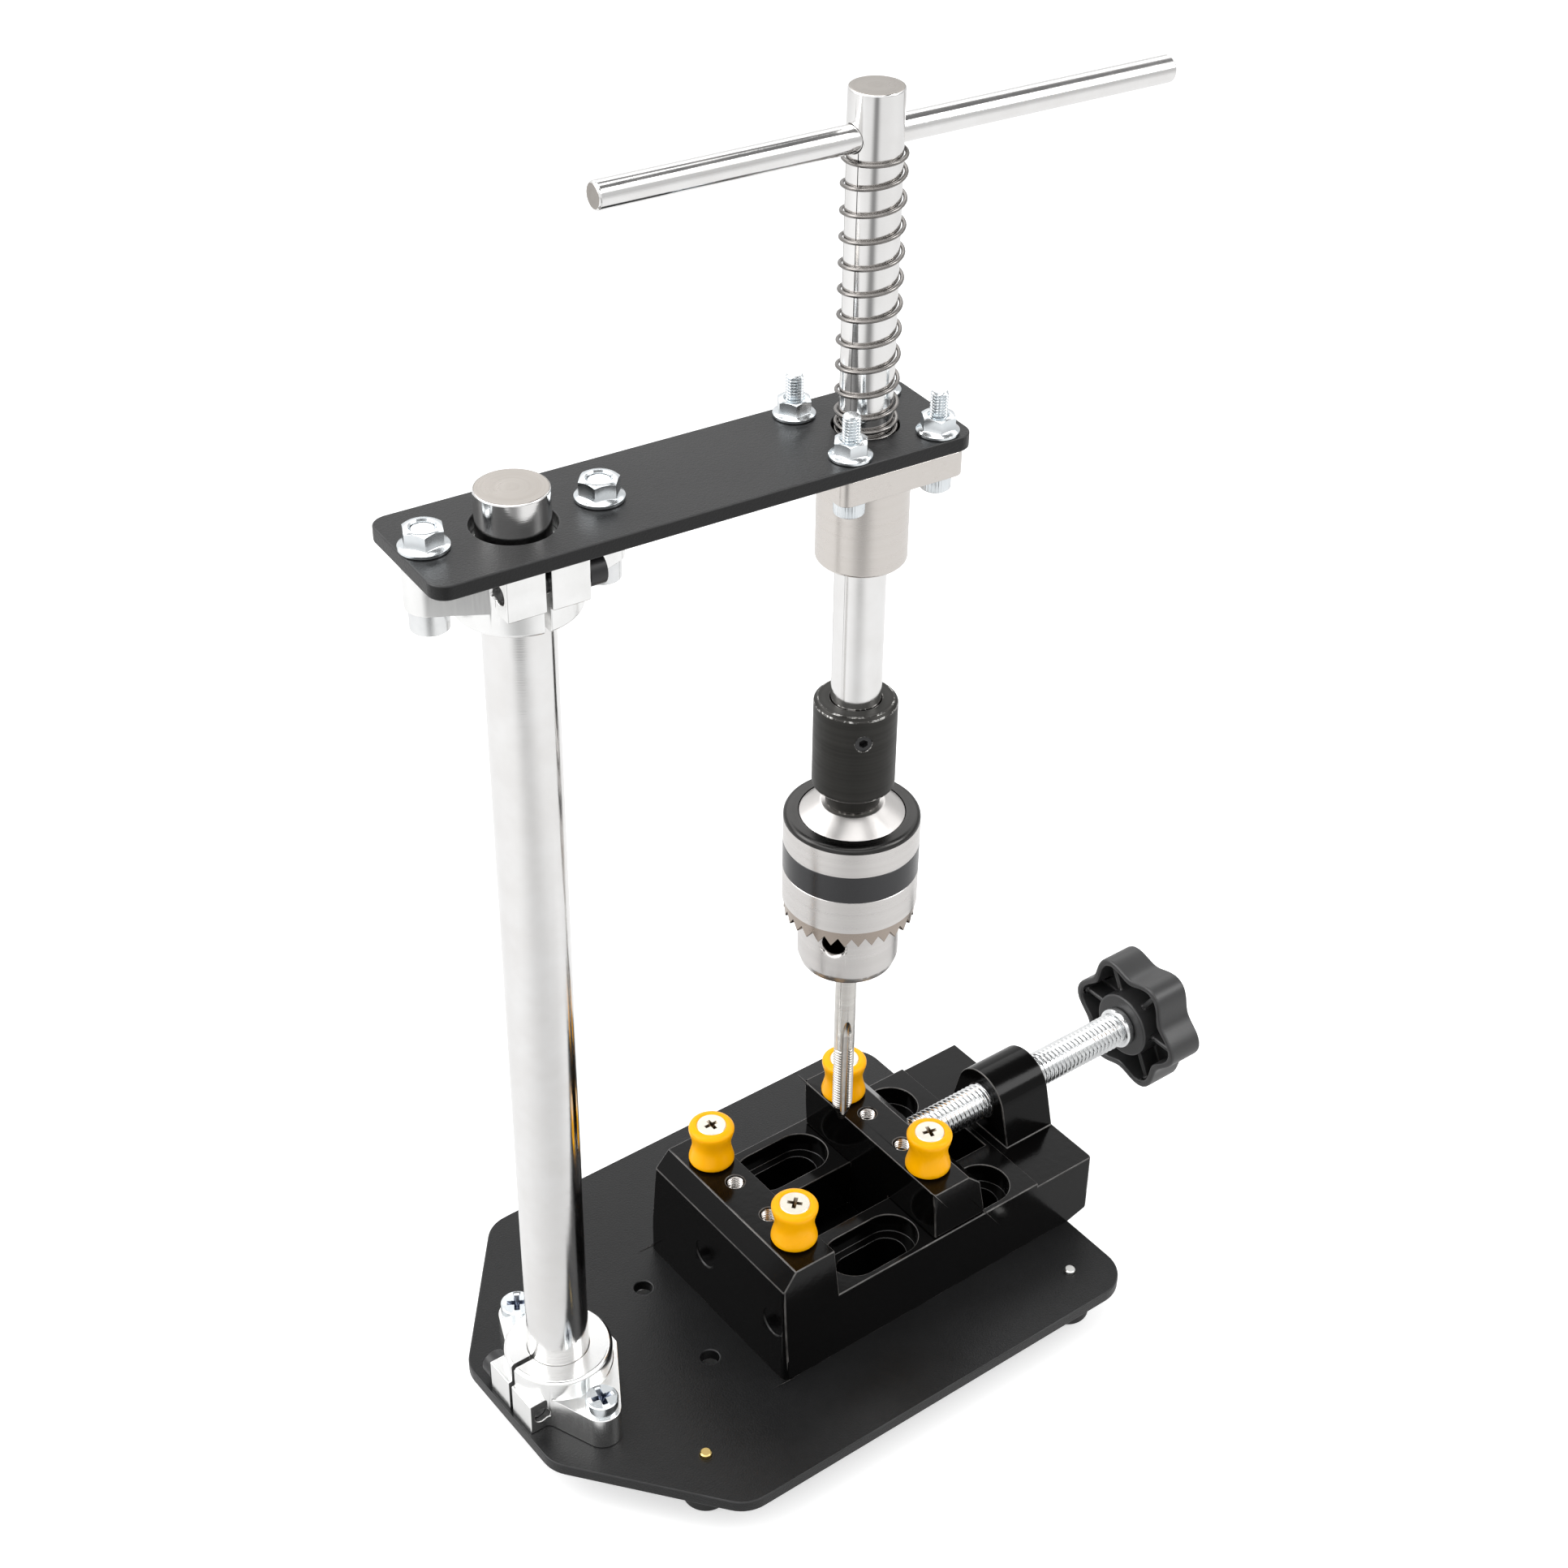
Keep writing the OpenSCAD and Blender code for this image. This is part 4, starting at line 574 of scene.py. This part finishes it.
def hexagon(flats, around):
    """Radius of a hexagon at each step around: half its width across the flats over the cosine
    of the angle from the nearest flat's middle."""
    t = 2 * np.pi * np.arange(around) / around
    return flats / 2 / np.cos((t + np.pi / 6) % (np.pi / 3) - np.pi / 6)


def cross(long, around):
    """Radius of a cross at each step around: arms of half length long, whose corners lie 15
    degrees off their middles, so half as wide as long times the tangent of 15 degrees."""
    t = 2 * np.pi * np.arange(around) / around
    off = np.abs((t + np.pi / 4) % (np.pi / 2) - np.pi / 4)
    half_wide = long * math.tan(math.radians(15))
    return np.minimum(long / np.cos(off), half_wide / np.sin(np.maximum(off, 0.01)))


def cross_screw(head, rise, shank, foot, top, arm, deep, around=96):
    """A cross-recessed screw up to a height top: the shank from a foot, a head that starts at
    rise under its top with a bevelled rim, and the recess, which narrows as it goes down."""
    edge_share, mouth, lip, lip_down, well, core, well_down, point = (
        0.06, 1.06, 0.97, 0.08, 0.75, 0.45, 0.6, 0.12)
    recess = cross(arm, around)
    edge = head * edge_share
    return lathe([(shank, foot), (shank, top - rise[0]), (head - edge * 0.5, top - rise[1]),
                  (head, top - rise[1] + edge * 0.5), (head, top - edge), (head - edge, top),
                  (recess * mouth, top), (recess * lip, top - deep * lip_down),
                  (np.minimum(recess * well, arm * core), top - deep * well_down),
                  (arm * point, top - deep)], around)


def cross_pits(screws, around=96):
    """How deep each point of such screws lies in the recess: seven rings outside it, one on its
    lip and two inside."""
    return np.tile(np.repeat([0] * 7 + [0.7, 1, 1], around), screws)


def paint_over(tree, shader, mask, colour):
    """Mixes a shader's colour towards another as far as a mask says."""
    under = shader.inputs["Base Color"].links[0].from_socket
    link(tree, tint(tree, mask, under, colour), shader.inputs["Base Color"])


def paint_pit_shade(material, colour):
    """Painted shade: a material's colour mixed towards another where a piece's points lie
    in a recess.
    """
    tree = material.node_tree
    pit = tree.nodes.new("ShaderNodeAttribute")
    pit.attribute_name = "pit"
    paint_over(tree, tree.nodes["Principled BSDF"], pit.outputs["Fac"], colour)


def turned_about(degrees):
    """The matrix that turns a shape about its z axis."""
    c, s = math.cos(math.radians(degrees)), math.sin(math.radians(degrees))
    return ((c, -s, 0), (s, c, 0), (0, 0, 1))


black_oxide = pebbled_material("black_oxide", (0.012, 0.012, 0.013, 1), (0.02, 0.02, 0.021, 1),
                               roughness=(0.3, 0.45), pebbles=1500.0, depth=0.00001)
zinc = milled_metal("zinc_plate", (0.8, 0.83, 0.85, 1), (0.7, 0.745, 0.775, 1),
                    roughness=(0.13, 0.24))
bright_screw = milled_metal("bright_screw", (0.84, 0.85, 0.85, 1), (0.76, 0.77, 0.78, 1),
                            roughness=(0.14, 0.26))
# painted shade: the zinc screws' cross recesses darken towards blue-black
paint_pit_shade(zinc, (0.1, 0.12, 0.17, 1))
finish_with(black_oxide, "lower_pinch_screw", "upper_pinch_screw")
finish_with(bright_screw, "upper_flange_screws")
for name in ("lower_pinch_screw", "upper_pinch_screw", "upper_flange_screws"):
    soften(name, radius=0.0002)


def box_mm(node):
    """The two far corners of a node's box, in mm."""
    return (np.array(corner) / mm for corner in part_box(node))


column_x, column_y = (value / mm for value in centre_of("column")[:2])
bolt_low, bolt_high = box_mm("lower_flange_screws")
bolt_head_r, bolt_shank_r, bolt_head_h, bolt_cross, bolt_cross_deep = 4.25, 2.5, 3.7, 2.6, 2.0
bolt_side, bolt_spin, bolt_spin_apart = bolt_high[1] - bolt_head_r, 24, 35
new_piece("lower_clamp_screws", joined([
    put(cross_screw(bolt_head_r, (bolt_head_h, bolt_head_h), bolt_shank_r, bolt_low[2],
                    bolt_high[2], bolt_cross, bolt_cross_deep), (column_x, side * bolt_side, 0),
        turned_about(bolt_spin + bolt_spin_apart * side)) for side in (-1, 1)]),
    zinc, "base", ["lower_flange_screws"], pits=cross_pits(2))


# The arm's nuts
# Zinc-plated flange nuts: two large ones on the column clamp's screws and four small ones on
# the bearing's. Each is a hexagon with a bevelled top on a dished round flange.
def flange_nut(flats, height, flange, bore, around=72):
    """A flange nut from its foot up: rim, dished slope, the hexagon under a 30-degree cone, and
    the bore with its bevel, which ends at a face inside."""
    rim_share, crown_share, dish, cone, soft, foot_in = 0.17, 0.94, 0.3, 0.62, 0.25, 0.2
    corner_out, corner_up = 0.1, 0.15
    bore_gap, bore_bevel, bore_down, bore_seen = 0.12, 0.5, 0.4, 1.2
    side = hexagon(flats, around)
    rim = flange / 2
    rim_h, crown = height * rim_share, flats / 2 * crown_share
    dish_top = rim_h + soft + (rim - side) * dish
    return lathe([(rim - foot_in, 0), (rim, soft), (rim, rim_h), (rim - dish, rim_h + soft),
                  (side + corner_out, dish_top), (side, dish_top + corner_up),
                  (side, height - (side - crown) * cone), (crown, height),
                  (bore + bore_bevel, height), (bore + bore_gap, height - bore_down),
                  (bore + bore_gap, height - bore_seen)], around)


arm_turn = -5.14
arm_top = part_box("arm_plate")[1][2] / mm
nut_flats, nut_height, nut_flange, nut_bore, nut_spin = 8, 5, 10.8, 2.5, 20
clamp_bolt_reach = 20
along_arm = np.array((math.cos(math.radians(arm_turn)), math.sin(math.radians(arm_turn)), 0))
across_arm = np.array((-along_arm[1], along_arm[0], 0))
column_foot = np.array((column_x, column_y, 0))
new_piece("clamp_nuts", joined([
    put(flange_nut(nut_flats, nut_height, nut_flange, nut_bore),
        column_foot + along_arm * side * clamp_bolt_reach + (0, 0, arm_top),
        turned_about(arm_turn + nut_spin * side)) for side in (-1, 1)]),
    zinc, "arm", ["upper_flange_nuts"])


# The bearing
# A square-flanged linear ball bearing in satin ground steel, under the arm's front end, with a
# black seal at each end, a plastic cage of balls inside, and four M4 cap screws up through the arm.
spindle_axis = centre_of("spindle")
spindle_x, spindle_y = spindle_axis[0] / mm, spindle_axis[1] / mm
bearing_steel = turned_metal("bearing_steel", (0.67, 0.635, 0.605, 1), (0.655, 0.62, 0.585, 1),
                             roughness=(0.22, 0.3), centre=spindle_axis, rings=5200.0, depth=3e-6)
finish_with(bearing_steel, "bearing_sleeve")
soften("bearing_sleeve", radius=0.0003)
finish_with(rubber, "bearing_seals")
cage_plastic = pebbled_material("cage_plastic", (0.7, 0.62, 0.45, 1), (0.64, 0.56, 0.4, 1),
                                roughness=(0.35, 0.5), pebbles=1500.0, depth=0.00002)
finish_with(cage_plastic, "bearing_cage")
finish_with(column_steel, "bearing_balls")


thread_root, thread_flank = 0.25, 0.625


def thread_rings(major, depth, pitch, start, end, around, steps=12):
    """Rings of a right-hand thread between two heights: a crest an eighth of the pitch wide, a
    root a quarter wide, straight flanks, and a bevel down to the root at both ends."""
    t = np.arange(around) / around
    rings = []
    for height in np.linspace(start, end, int((end - start) / pitch * steps) + 1):
        wave = np.abs(2 * ((height / pitch - t) % 1) - 1)
        rise = np.clip((wave - thread_root) / thread_flank, 0, 1) * depth
        rings.append((major - depth + np.minimum(rise, min(height - start, end - height)), height))
    return rings


def knurled_head(head, socket_flats, low, high, deep, around=144):
    """A cap screw's head that hangs from a height high down to low: 36 ridges round its side,
    and a hexagon socket of a depth in its lower face."""
    ridge_deep, face_in, face_up, knurl_up, knurl_down, back_up, back_in = (
        0.12, 0.4, 0.25, 0.45, 0.4, 0.2, 0.2)
    ridge = ridge_deep * np.array([0, 0.5, 1, 0.5])[np.arange(around) % 4]
    socket = hexagon(socket_flats, around)
    return lathe([(socket, low + deep), (socket, low), (head - face_in, low),
                  (head - ridge_deep, low + face_up), (head - ridge, low + knurl_up),
                  (head - ridge, high - knurl_down), (head - ridge_deep, high - back_up),
                  (head - back_in, high)], around)


stud_low, stud_high = box_mm("bearing_screws")
stud_r, stud_pitch, stud_thread = 2.0, 0.7, 0.42
head_r, head_h, socket_flats, socket_deep = 3.5, 4.0, 3.0, 2.0
small_flats, small_height, small_flange = 7, 4.4, 9.6
stud_spins, small_nut_spin = (50, 25), 25
bolt_circle = 32
bearing_bolt_reach = bolt_circle / 2 * math.cos(math.radians(45))
stud_body = stud_low[2] + head_h
studs, small_nuts = [], []
for s_side in (-1, 1):
    for t_side in (-1, 1):
        place = (np.array((spindle_x, spindle_y, 0)) + along_arm * s_side * bearing_bolt_reach
                 + across_arm * t_side * bearing_bolt_reach)
        spin = turned_about(stud_spins[0] * s_side + stud_spins[1] * t_side)
        studs.append(put(knurled_head(head_r, socket_flats, stud_low[2], stud_body, socket_deep),
                         place, spin))
        turns = thread_rings(stud_r, stud_thread, stud_pitch, arm_top + stud_pitch, stud_high[2],
                             around=48)
        studs.append(put(lathe([(stud_r, stud_body), (stud_r, arm_top)] + turns, around=48), place,
                         spin))
        nut_turn = turned_about(arm_turn + small_nut_spin * s_side * t_side)
        small_nuts.append(put(flange_nut(small_flats, small_height, small_flange, stud_r),
                              place + (0, 0, arm_top), nut_turn))
new_piece("bearing_bolts", joined(studs), zinc, "arm", ["bearing_screws"])
new_piece("bearing_bolt_nuts", joined(small_nuts), zinc, "arm", ["bearing_nuts"])


# The spindle and its handle
# A ground 12 mm shaft that runs through the bearing, with a 6 mm polished bar pushed through the
# cross hole at its top.
spindle_steel = ground_bar("spindle_steel", spindle_axis, half_of("spindle", 2))
finish_with(spindle_steel, "spindle")
soften("spindle", radius=0.0002)
handle_half = 71 * mm
handle_steel = ground_bar("handle_steel", centre_of("handle_bar"), handle_half,
                          (0, math.radians(90), math.radians(arm_turn)))
finish_with(handle_steel, "handle_bar")
soften("handle_bar", radius=0.0002)


# The return spring
# Dark 0.9 mm wire wound close round the shaft: two closed turns on the arm, two that open out,
# nine open ones, and a last part turn that ends under the bar.
wire_r, coil_r = 0.45, 6.65
close_pitch, open_pitch = 1.75, 5.85
close_turns, ease_turns, open_turns, end_turns = 2, 2, 9, 0.5904
coil_phase = math.radians(142.3)
coil_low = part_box("return_spring")[0][2] / mm + wire_r
coil_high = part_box("return_spring")[1][2] / mm - wire_r


def coil(steps=44, around=12):
    """The wire as a tube: at t turns its middle is (coil_r cos a, coil_r sin a, z) for the angle
    a = phase + 2 pi t, where z climbs by the pitch, which grows evenly over the easing turns."""
    total = close_turns + ease_turns + open_turns + end_turns
    t = np.linspace(0, total, int(total * steps) + 1)
    ease = np.clip(t - close_turns, 0, ease_turns)
    wide = np.clip(t - close_turns - ease_turns, 0, open_turns)
    last = np.clip(t - total + end_turns, 0, end_turns)
    height = (coil_low + close_pitch * np.minimum(t, close_turns)
              + close_pitch * ease + (open_pitch - close_pitch) * ease ** 2 / (2 * ease_turns)
              + open_pitch * wide)
    height = height + last / end_turns * (coil_high - height.max())
    angle = coil_phase + 2 * np.pi * t
    middle = np.stack([coil_r * np.cos(angle), coil_r * np.sin(angle), height], -1)
    outward = np.stack([np.cos(angle), np.sin(angle), 0 * angle], -1)
    run = np.gradient(middle, axis=0)
    up = np.cross(outward, run)
    up /= -np.linalg.norm(up, axis=1, keepdims=True)
    b = 2 * np.pi * np.arange(around) / around
    tube = (middle[:, None] + wire_r * (outward[:, None] * np.cos(b)[:, None]
                                        + up[:, None] * np.sin(b)[:, None]))
    index = np.arange(len(t) * around).reshape(len(t), around)
    beside = np.roll(index, -1, axis=1)
    faces = np.stack([index[:-1], beside[:-1], beside[1:], index[1:]], -1).reshape(-1, 4).tolist()
    return tube.reshape(-1, 3), faces + [index[0, ::-1].tolist(), index[-1].tolist()]


spring_steel = milled_metal("spring_steel", (0.27, 0.255, 0.245, 1), (0.2, 0.19, 0.18, 1),
                            roughness=(0.2, 0.32))
spring = new_piece("coil_spring", put(coil(), (spindle_x, spindle_y, 0)), spring_steel, "arm",
                   ["return_spring"])
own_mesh(spring)


# The coupler
# A turned sleeve in black oxide that joins the spindle to the chuck's arbor, its edges rubbed
# bright, with one set screw in its side.
oxide_steel = turned_metal("oxide_steel", (0.05, 0.049, 0.046, 1), (0.036, 0.035, 0.033, 1),
                           roughness=(0.42, 0.52), centre=spindle_axis, rings=2600.0, depth=1e-6)
worn_edge, tree, shader, where = new_material("worn_edge", (0.5, 0.49, 0.47, 1), 1.0, 0.3)
rubbed = spread(tree, noise(tree, where, 420.0, 4.0, 0.75), 0.5, 0.62, 0.0, 1.0)
link(tree, tint(tree, rubbed, (0.06, 0.058, 0.055, 1), (0.62, 0.61, 0.59, 1)),
     shader.inputs["Base Color"])
finish_with(oxide_steel, "coupler")
finish_with(black_oxide, "coupler_set_screw")
soften("coupler", radius=0.00025, edge_material=worn_edge)


# The chuck
# A keyed three-jaw chuck: a turned steel body, a sleeve with blackened bands and a crown of
# bevel teeth for the key, and three hardened jaws that grip the tap.
chuck_bright, chuck_dull = (0.67, 0.65, 0.635, 1), (0.63, 0.61, 0.595, 1)
chuck_steel = turned_metal("chuck_steel", chuck_bright, chuck_dull, roughness=(0.26, 0.36),
                           centre=spindle_axis, rings=2600.0, depth=2e-6)
finish_with(chuck_steel, "chuck_body", "chuck_ring", "chuck_jaw_a", "chuck_jaw_b", "chuck_jaw_c")
soften("chuck_body", radius=0.00025)
sleeve_low, sleeve_high = (corner[2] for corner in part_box("chuck_sleeve"))
tooth_band = 3.9 * mm
black_low, black_high = 13.1 * mm, 20.7 * mm
top_band = 1.5 * mm
sleeve_steel = turned_metal("sleeve_steel", chuck_bright, chuck_dull, roughness=(0.2, 0.3),
                            centre=spindle_axis, rings=2600.0, depth=1.5e-6)


def between(tree, value, low, high):
    """1 where a value lies between two others, and 0 elsewhere."""
    return number(tree, "COMPARE", value, (low + high) / 2, (high - low) / 2)


tree, shader, where = opened(sleeve_steel)
height = parts_of(tree, where)[2]
for low, high, colour in ((-tooth_band, tooth_band, (0.4, 0.345, 0.3, 1)),
                          (black_low, black_high, (0.066, 0.066, 0.068, 1)),
                          (sleeve_high - sleeve_low - top_band, 1, (0.05, 0.049, 0.048, 1))):
    paint_over(tree, shader, between(tree, height, sleeve_low + low, sleeve_low + high), colour)

teeth, tooth_r, tooth_drop, tooth_deep, tooth_inner = 30, 16.2, 0.8, 2.4, 0.9
sleeve_r, sleeve_bevel, lip_r, bore_r, collar_wall = 16.7, 1.3, 12.68, 15.1, 13.08
crown_top, ring_floor, lid_floor, groove, chamfer = 3.6, 3.9, 25.85, 0.1, 0.2
sleeve_foot, sleeve_top = sleeve_low / mm, sleeve_high / mm


def key_sleeve(around=360):
    """The sleeve as one closed profile carried round the axis. The heights of its foot rise from
    each tooth's tip to the middle of the notch beside it in proportion to the angle."""
    t = np.arange(around) / around * teeth
    notch = 1 - np.abs(2 * (t % 1) - 1)
    arc = np.linspace(0, np.pi / 2, 6)
    rim = [(sleeve_r - sleeve_bevel * (1 - math.sin(a)),
            sleeve_top - sleeve_bevel * (1 - math.cos(a))) for a in arc]
    bands = []
    for up in (sleeve_foot + black_high / mm, sleeve_foot + black_low / mm):
        bands += [(sleeve_r, up + groove), (sleeve_r - groove, up), (sleeve_r, up - groove)]
    crown, lid, ring = (sleeve_foot + up for up in (crown_top, lid_floor, ring_floor))
    tip = sleeve_foot - tooth_drop
    rings = [(collar_wall, sleeve_top)] + rim + bands + [
        (sleeve_r, crown + groove), (tooth_r, crown), (tooth_r, tip + chamfer + notch * tooth_deep),
        (tooth_r - chamfer, tip + notch * tooth_deep), (lip_r, tip + notch * tooth_inner),
        (lip_r, ring), (bore_r, ring), (bore_r, lid), (collar_wall, lid), (collar_wall, sleeve_top)]
    return lathe(rings, around, capped=False)


new_piece("key_sleeve", put(key_sleeve(), (spindle_x, spindle_y, 0)), sleeve_steel, "chuck_sleeve",
          ["chuck_sleeve"])

# painted shade: the insides of the key holes are painted dark
key_wall, key_from, key_to = 11.6 * mm, 6 * mm, 18 * mm
tree, shader, where = opened(chuck_steel)
from_foot = on_axis(tree, where, (spindle_axis[0], spindle_axis[1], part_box("chuck_body")[0][2]))
reach = vector_math(tree, "LENGTH", vector_math(tree, "MULTIPLY", from_foot, (1, 1, 0)))
inside = product(tree, between(tree, parts_of(tree, from_foot)[2], key_from, key_to),
                 number(tree, "LESS_THAN", reach, key_wall))
paint_over(tree, shader, inside, (0.03, 0.028, 0.026, 1))


# The tap
# A hand tap of ground tool steel with three straight flutes, its thread cut away to a taper at
# the point, and a plain shank in the chuck's jaws.
tap_low, tap_high = (corner[2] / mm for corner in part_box("tap"))
tap_r, tap_tip_r, tap_taper = 2.7, 0.9, 6
tap_pitch, tap_depth, tap_thread = 0.85, 0.45, 24.4
flute_r, flute_reach, flute_clear, flute_long, flute_rise = 1.25, 2.75, 1.2, 29, 6
flutes, flute_turn, flute_shade_share = 3, math.radians(246), 0.3
tap_least = 0.72


def tap_rings(around=96):
    """Rings of the tap: the least of its taper, its thread and, where a ray from the axis meets
    a flute's round cutter, the cutter's near side: c cos a - sqrt(r r - c c sin a sin a). With
    them, how deep each point lies in the thread."""
    t = 2 * np.pi * np.arange(around) / around
    period = 2 * np.pi / flutes
    off = (t - flute_turn + period / 2) % period - period / 2
    fine = np.arange(0, flute_long + flute_rise, tap_pitch / 10)
    rings, pits = [], []
    for up in np.append(fine, tap_high - tap_low):
        share = (up / tap_pitch - t / (2 * np.pi)) % 1
        wave = np.abs(2 * share - 1)
        rise = np.clip((wave - thread_root) / thread_flank, 0, 1) * tap_depth
        ridge = tap_r - tap_depth + rise
        plain = np.clip((up - tap_thread) / tap_pitch, 0, 1) * tap_depth
        cone = tap_tip_r + (tap_r - tap_tip_r) * up / tap_taper
        radius = np.minimum(np.minimum(ridge + plain, tap_r), cone)
        lift = flute_clear * (max(up - flute_long, 0) / flute_rise) ** 2
        reach = flute_reach + lift
        under = flute_r ** 2 - (reach * np.sin(off)) ** 2
        cut = reach * np.cos(off) - np.sqrt(np.maximum(under, 0))
        fluted = (under > 0) & (up < flute_long + flute_rise) & (cut < radius)
        radius = np.where(fluted, cut, radius)
        rings.append((np.maximum(radius, tap_least), tap_low + up))
        groove = (1 - rise / tap_depth) * (up < tap_thread)
        pits.append(np.where(fluted, flute_shade_share * (up < flute_long), groove))
    return rings, np.concatenate(pits)


tap_steel = turned_metal("tap_steel", (0.66, 0.64, 0.61, 1), (0.58, 0.56, 0.53, 1),
                         roughness=(0.18, 0.28), centre=spindle_axis, rings=3000.0, depth=2e-6)
# painted shade: the tap's thread grooves darken with their depth, and its flutes by a share of it
paint_pit_shade(tap_steel, (0.1, 0.085, 0.075, 1))
rings, pits = tap_rings()
new_piece("hand_tap", put(lathe(rings, around=96), (spindle_x, spindle_y, 0)), tap_steel,
          "spindle", ["tap"], sharp=60, pits=pits)


# The vise
# A small flat vise in gloss black enamel: one casting carries the fixed jaw, the slotted bed and
# the screw's boss, and a second slides along the bed. Its edges carry a paler painted highlight.
enamel_black = (0.0015, 0.0014, 0.0014, 1)
enamel = pebbled_material("vise_enamel", enamel_black, (0.0022, 0.0021, 0.0021, 1),
                          roughness=(0.1, 0.16), pebbles=500.0, depth=0.00002, gloss=0.15)
# painted highlight: the paler enamel on the bevels stands in for light caught along the edges
edge_highlight_enamel = pebbled_material("vise_edge_highlight", (0.016, 0.015, 0.0145, 1), (0.1, 0.095, 0.09, 1),
                               roughness=(0.2, 0.3), pebbles=6000.0, depth=0.00002)

# no painted highlight on the ledges' inner corners and round the marks in the end face
end_x, near_y, foot_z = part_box("vise_body")[0]
ledge_z, mark_z, far_y = foot_z + 15 * mm, foot_z + 18 * mm, 25 * mm
mark_reach, side_wall, thin = 4.6 * mm, 2 * mm, 0.7 * mm
tree, shader, where = opened(edge_highlight_enamel)
x, y, z = parts_of(tree, where)
ledge = between(tree, z, ledge_z - thin, ledge_z + thin)
mark = product(tree, number(tree, "LESS_THAN", x, end_x + thin),
               between(tree, z, mark_z - mark_reach, mark_z + mark_reach))
no_edge_highlight = product(tree, number(tree, "MAXIMUM", ledge, mark),
                between(tree, y, near_y + side_wall, far_y - side_wall))
paint_over(tree, shader, no_edge_highlight, enamel_black)
finish_with(enamel, "vise_body", "moving_jaw")
for name in ("vise_body", "moving_jaw"):
    soften(name, radius=0.0003, segments=3, edge_material=edge_highlight_enamel)
    nodes[name].modifiers["edge"].miter_outer = "MITER_SHARP"
finish_with(zinc, "guide_plate", "guide_plate_screws", "keeper_pin")

# bare threads in the holes on the jaws' tops, just proud of the holes' walls
jaw_top = 52.4
vise_y = -4.9
fixed_row, moving_row = column_x + 58.5, column_x + 103.4
hole_r, hole_thread, hole_pitch, hole_side, hole_rim = 2.47, 0.36, 0.8, 7.5, 0.3
bare_metal = milled_metal("bare_metal", (0.66, 0.63, 0.6, 1), (0.55, 0.52, 0.5, 1),
                          roughness=(0.2, 0.3))
for name, body, hole_x, hole_deep in (("fixed_jaw_threads", "base", fixed_row, 8),
                                      ("moving_jaw_threads", "moving_jaw", moving_row, 3.6)):
    turns = thread_rings(hole_r, hole_thread, hole_pitch, jaw_top - hole_deep,
                         jaw_top - hole_rim, around=40, steps=10)
    thread = lathe(turns, around=40, capped=False)
    new_piece(name, joined([put(thread, (hole_x, vise_y + side * hole_side, 0))
                            for side in (-1, 1)]), bare_metal, body)


# The posts
# Four waisted posts of glossy orange-yellow plastic that the work rests against, each held by a
# countersunk cross-recessed screw.
post_plastic = pebbled_material("post_plastic", (1.0, 0.46, 0.0, 1), (1.0, 0.44, 0.0, 1),
                                roughness=(0.25, 0.33), pebbles=700.0, depth=0.00001, gloss=0.18)
finish_with(post_plastic, "fixed_posts", "moving_posts")
soften("fixed_posts", radius=0.0003)
soften("moving_posts", radius=0.0003)
nickel = milled_metal("nickel_plate", (0.75, 0.72, 0.63, 1), (0.7, 0.66, 0.57, 1),
                      roughness=(0.25, 0.36))
# painted shade: the post screws' cross recesses darken towards brown
paint_pit_shade(nickel, (0.09, 0.055, 0.025, 1))
post_side, post_head_r, post_head_h, post_rim, post_shank_r = 18.2, 4.0, 2.3, 0.35, 1.95
post_cross, post_cross_deep = 1.9, 1.7
for node, body, post_x, spins in (("fixed_post_screws", "base", fixed_row, (42, 88)),
                                  ("moving_post_screws", "moving_jaw", moving_row, (75, 60))):
    low, high = box_mm(node)
    new_piece(node.replace("post_screws", "post_cross_screws"), joined([
        put(cross_screw(post_head_r, (post_head_h, post_rim), post_shank_r, low[2], high[2],
                        post_cross, post_cross_deep),
            (post_x, vise_y + side * post_side, 0), turned_about(spin))
        for side, spin in zip((-1, 1), spins)]), nickel, body, [node],
        pits=cross_pits(2))


# The lead screw and its knob
# A zinc-plated M10 screw with a pressed collar, turned by a six-lobed knob of black plastic that
# is hollow behind, with a rib to each lobe.
screw_low, screw_high = box_mm("lead_screw")
screw_height = (screw_low[2] + screw_high[2]) / 2
screw_r, screw_pitch, screw_depth = 5.0, 1.5, 0.92
neck_r, neck_from, neck_to = 3.0, 3.0, 7.2
collar_r, collar_from, collar_to = 6.0, 86.3, 89.3
bevel = 0.5
rings = [(screw_r - bevel, 0), (screw_r, bevel), (screw_r, neck_from), (neck_r, neck_from),
         (neck_r, neck_to)]
rings += thread_rings(screw_r, screw_depth, screw_pitch, neck_to, collar_from, around=64,
                      steps=10)
rings += [(collar_r - bevel, collar_from), (collar_r, collar_from + bevel),
          (collar_r, collar_to - bevel), (collar_r - bevel, collar_to),
          (screw_r - screw_depth, collar_to), (screw_r - screw_depth, screw_high[0] - screw_low[0])]
z_along_x = ((0, 0, 1), (1, 0, 0), (0, 1, 0))
new_piece("lead_screw_thread", put(lathe(rings, around=64), (screw_low[0], vise_y, screw_height),
                                   z_along_x), bright_screw, "lead_screw",
          ["lead_screw"], sharp=60)
knob_plastic = pebbled_material("knob_plastic", (0.026, 0.026, 0.0265, 1), (0.03, 0.03, 0.0305, 1),
                                roughness=(0.34, 0.44), pebbles=900.0, depth=0.00002, gloss=0.6)
finish_with(knob_plastic, "knob")
soften("knob", radius=0.0007, segments=3)
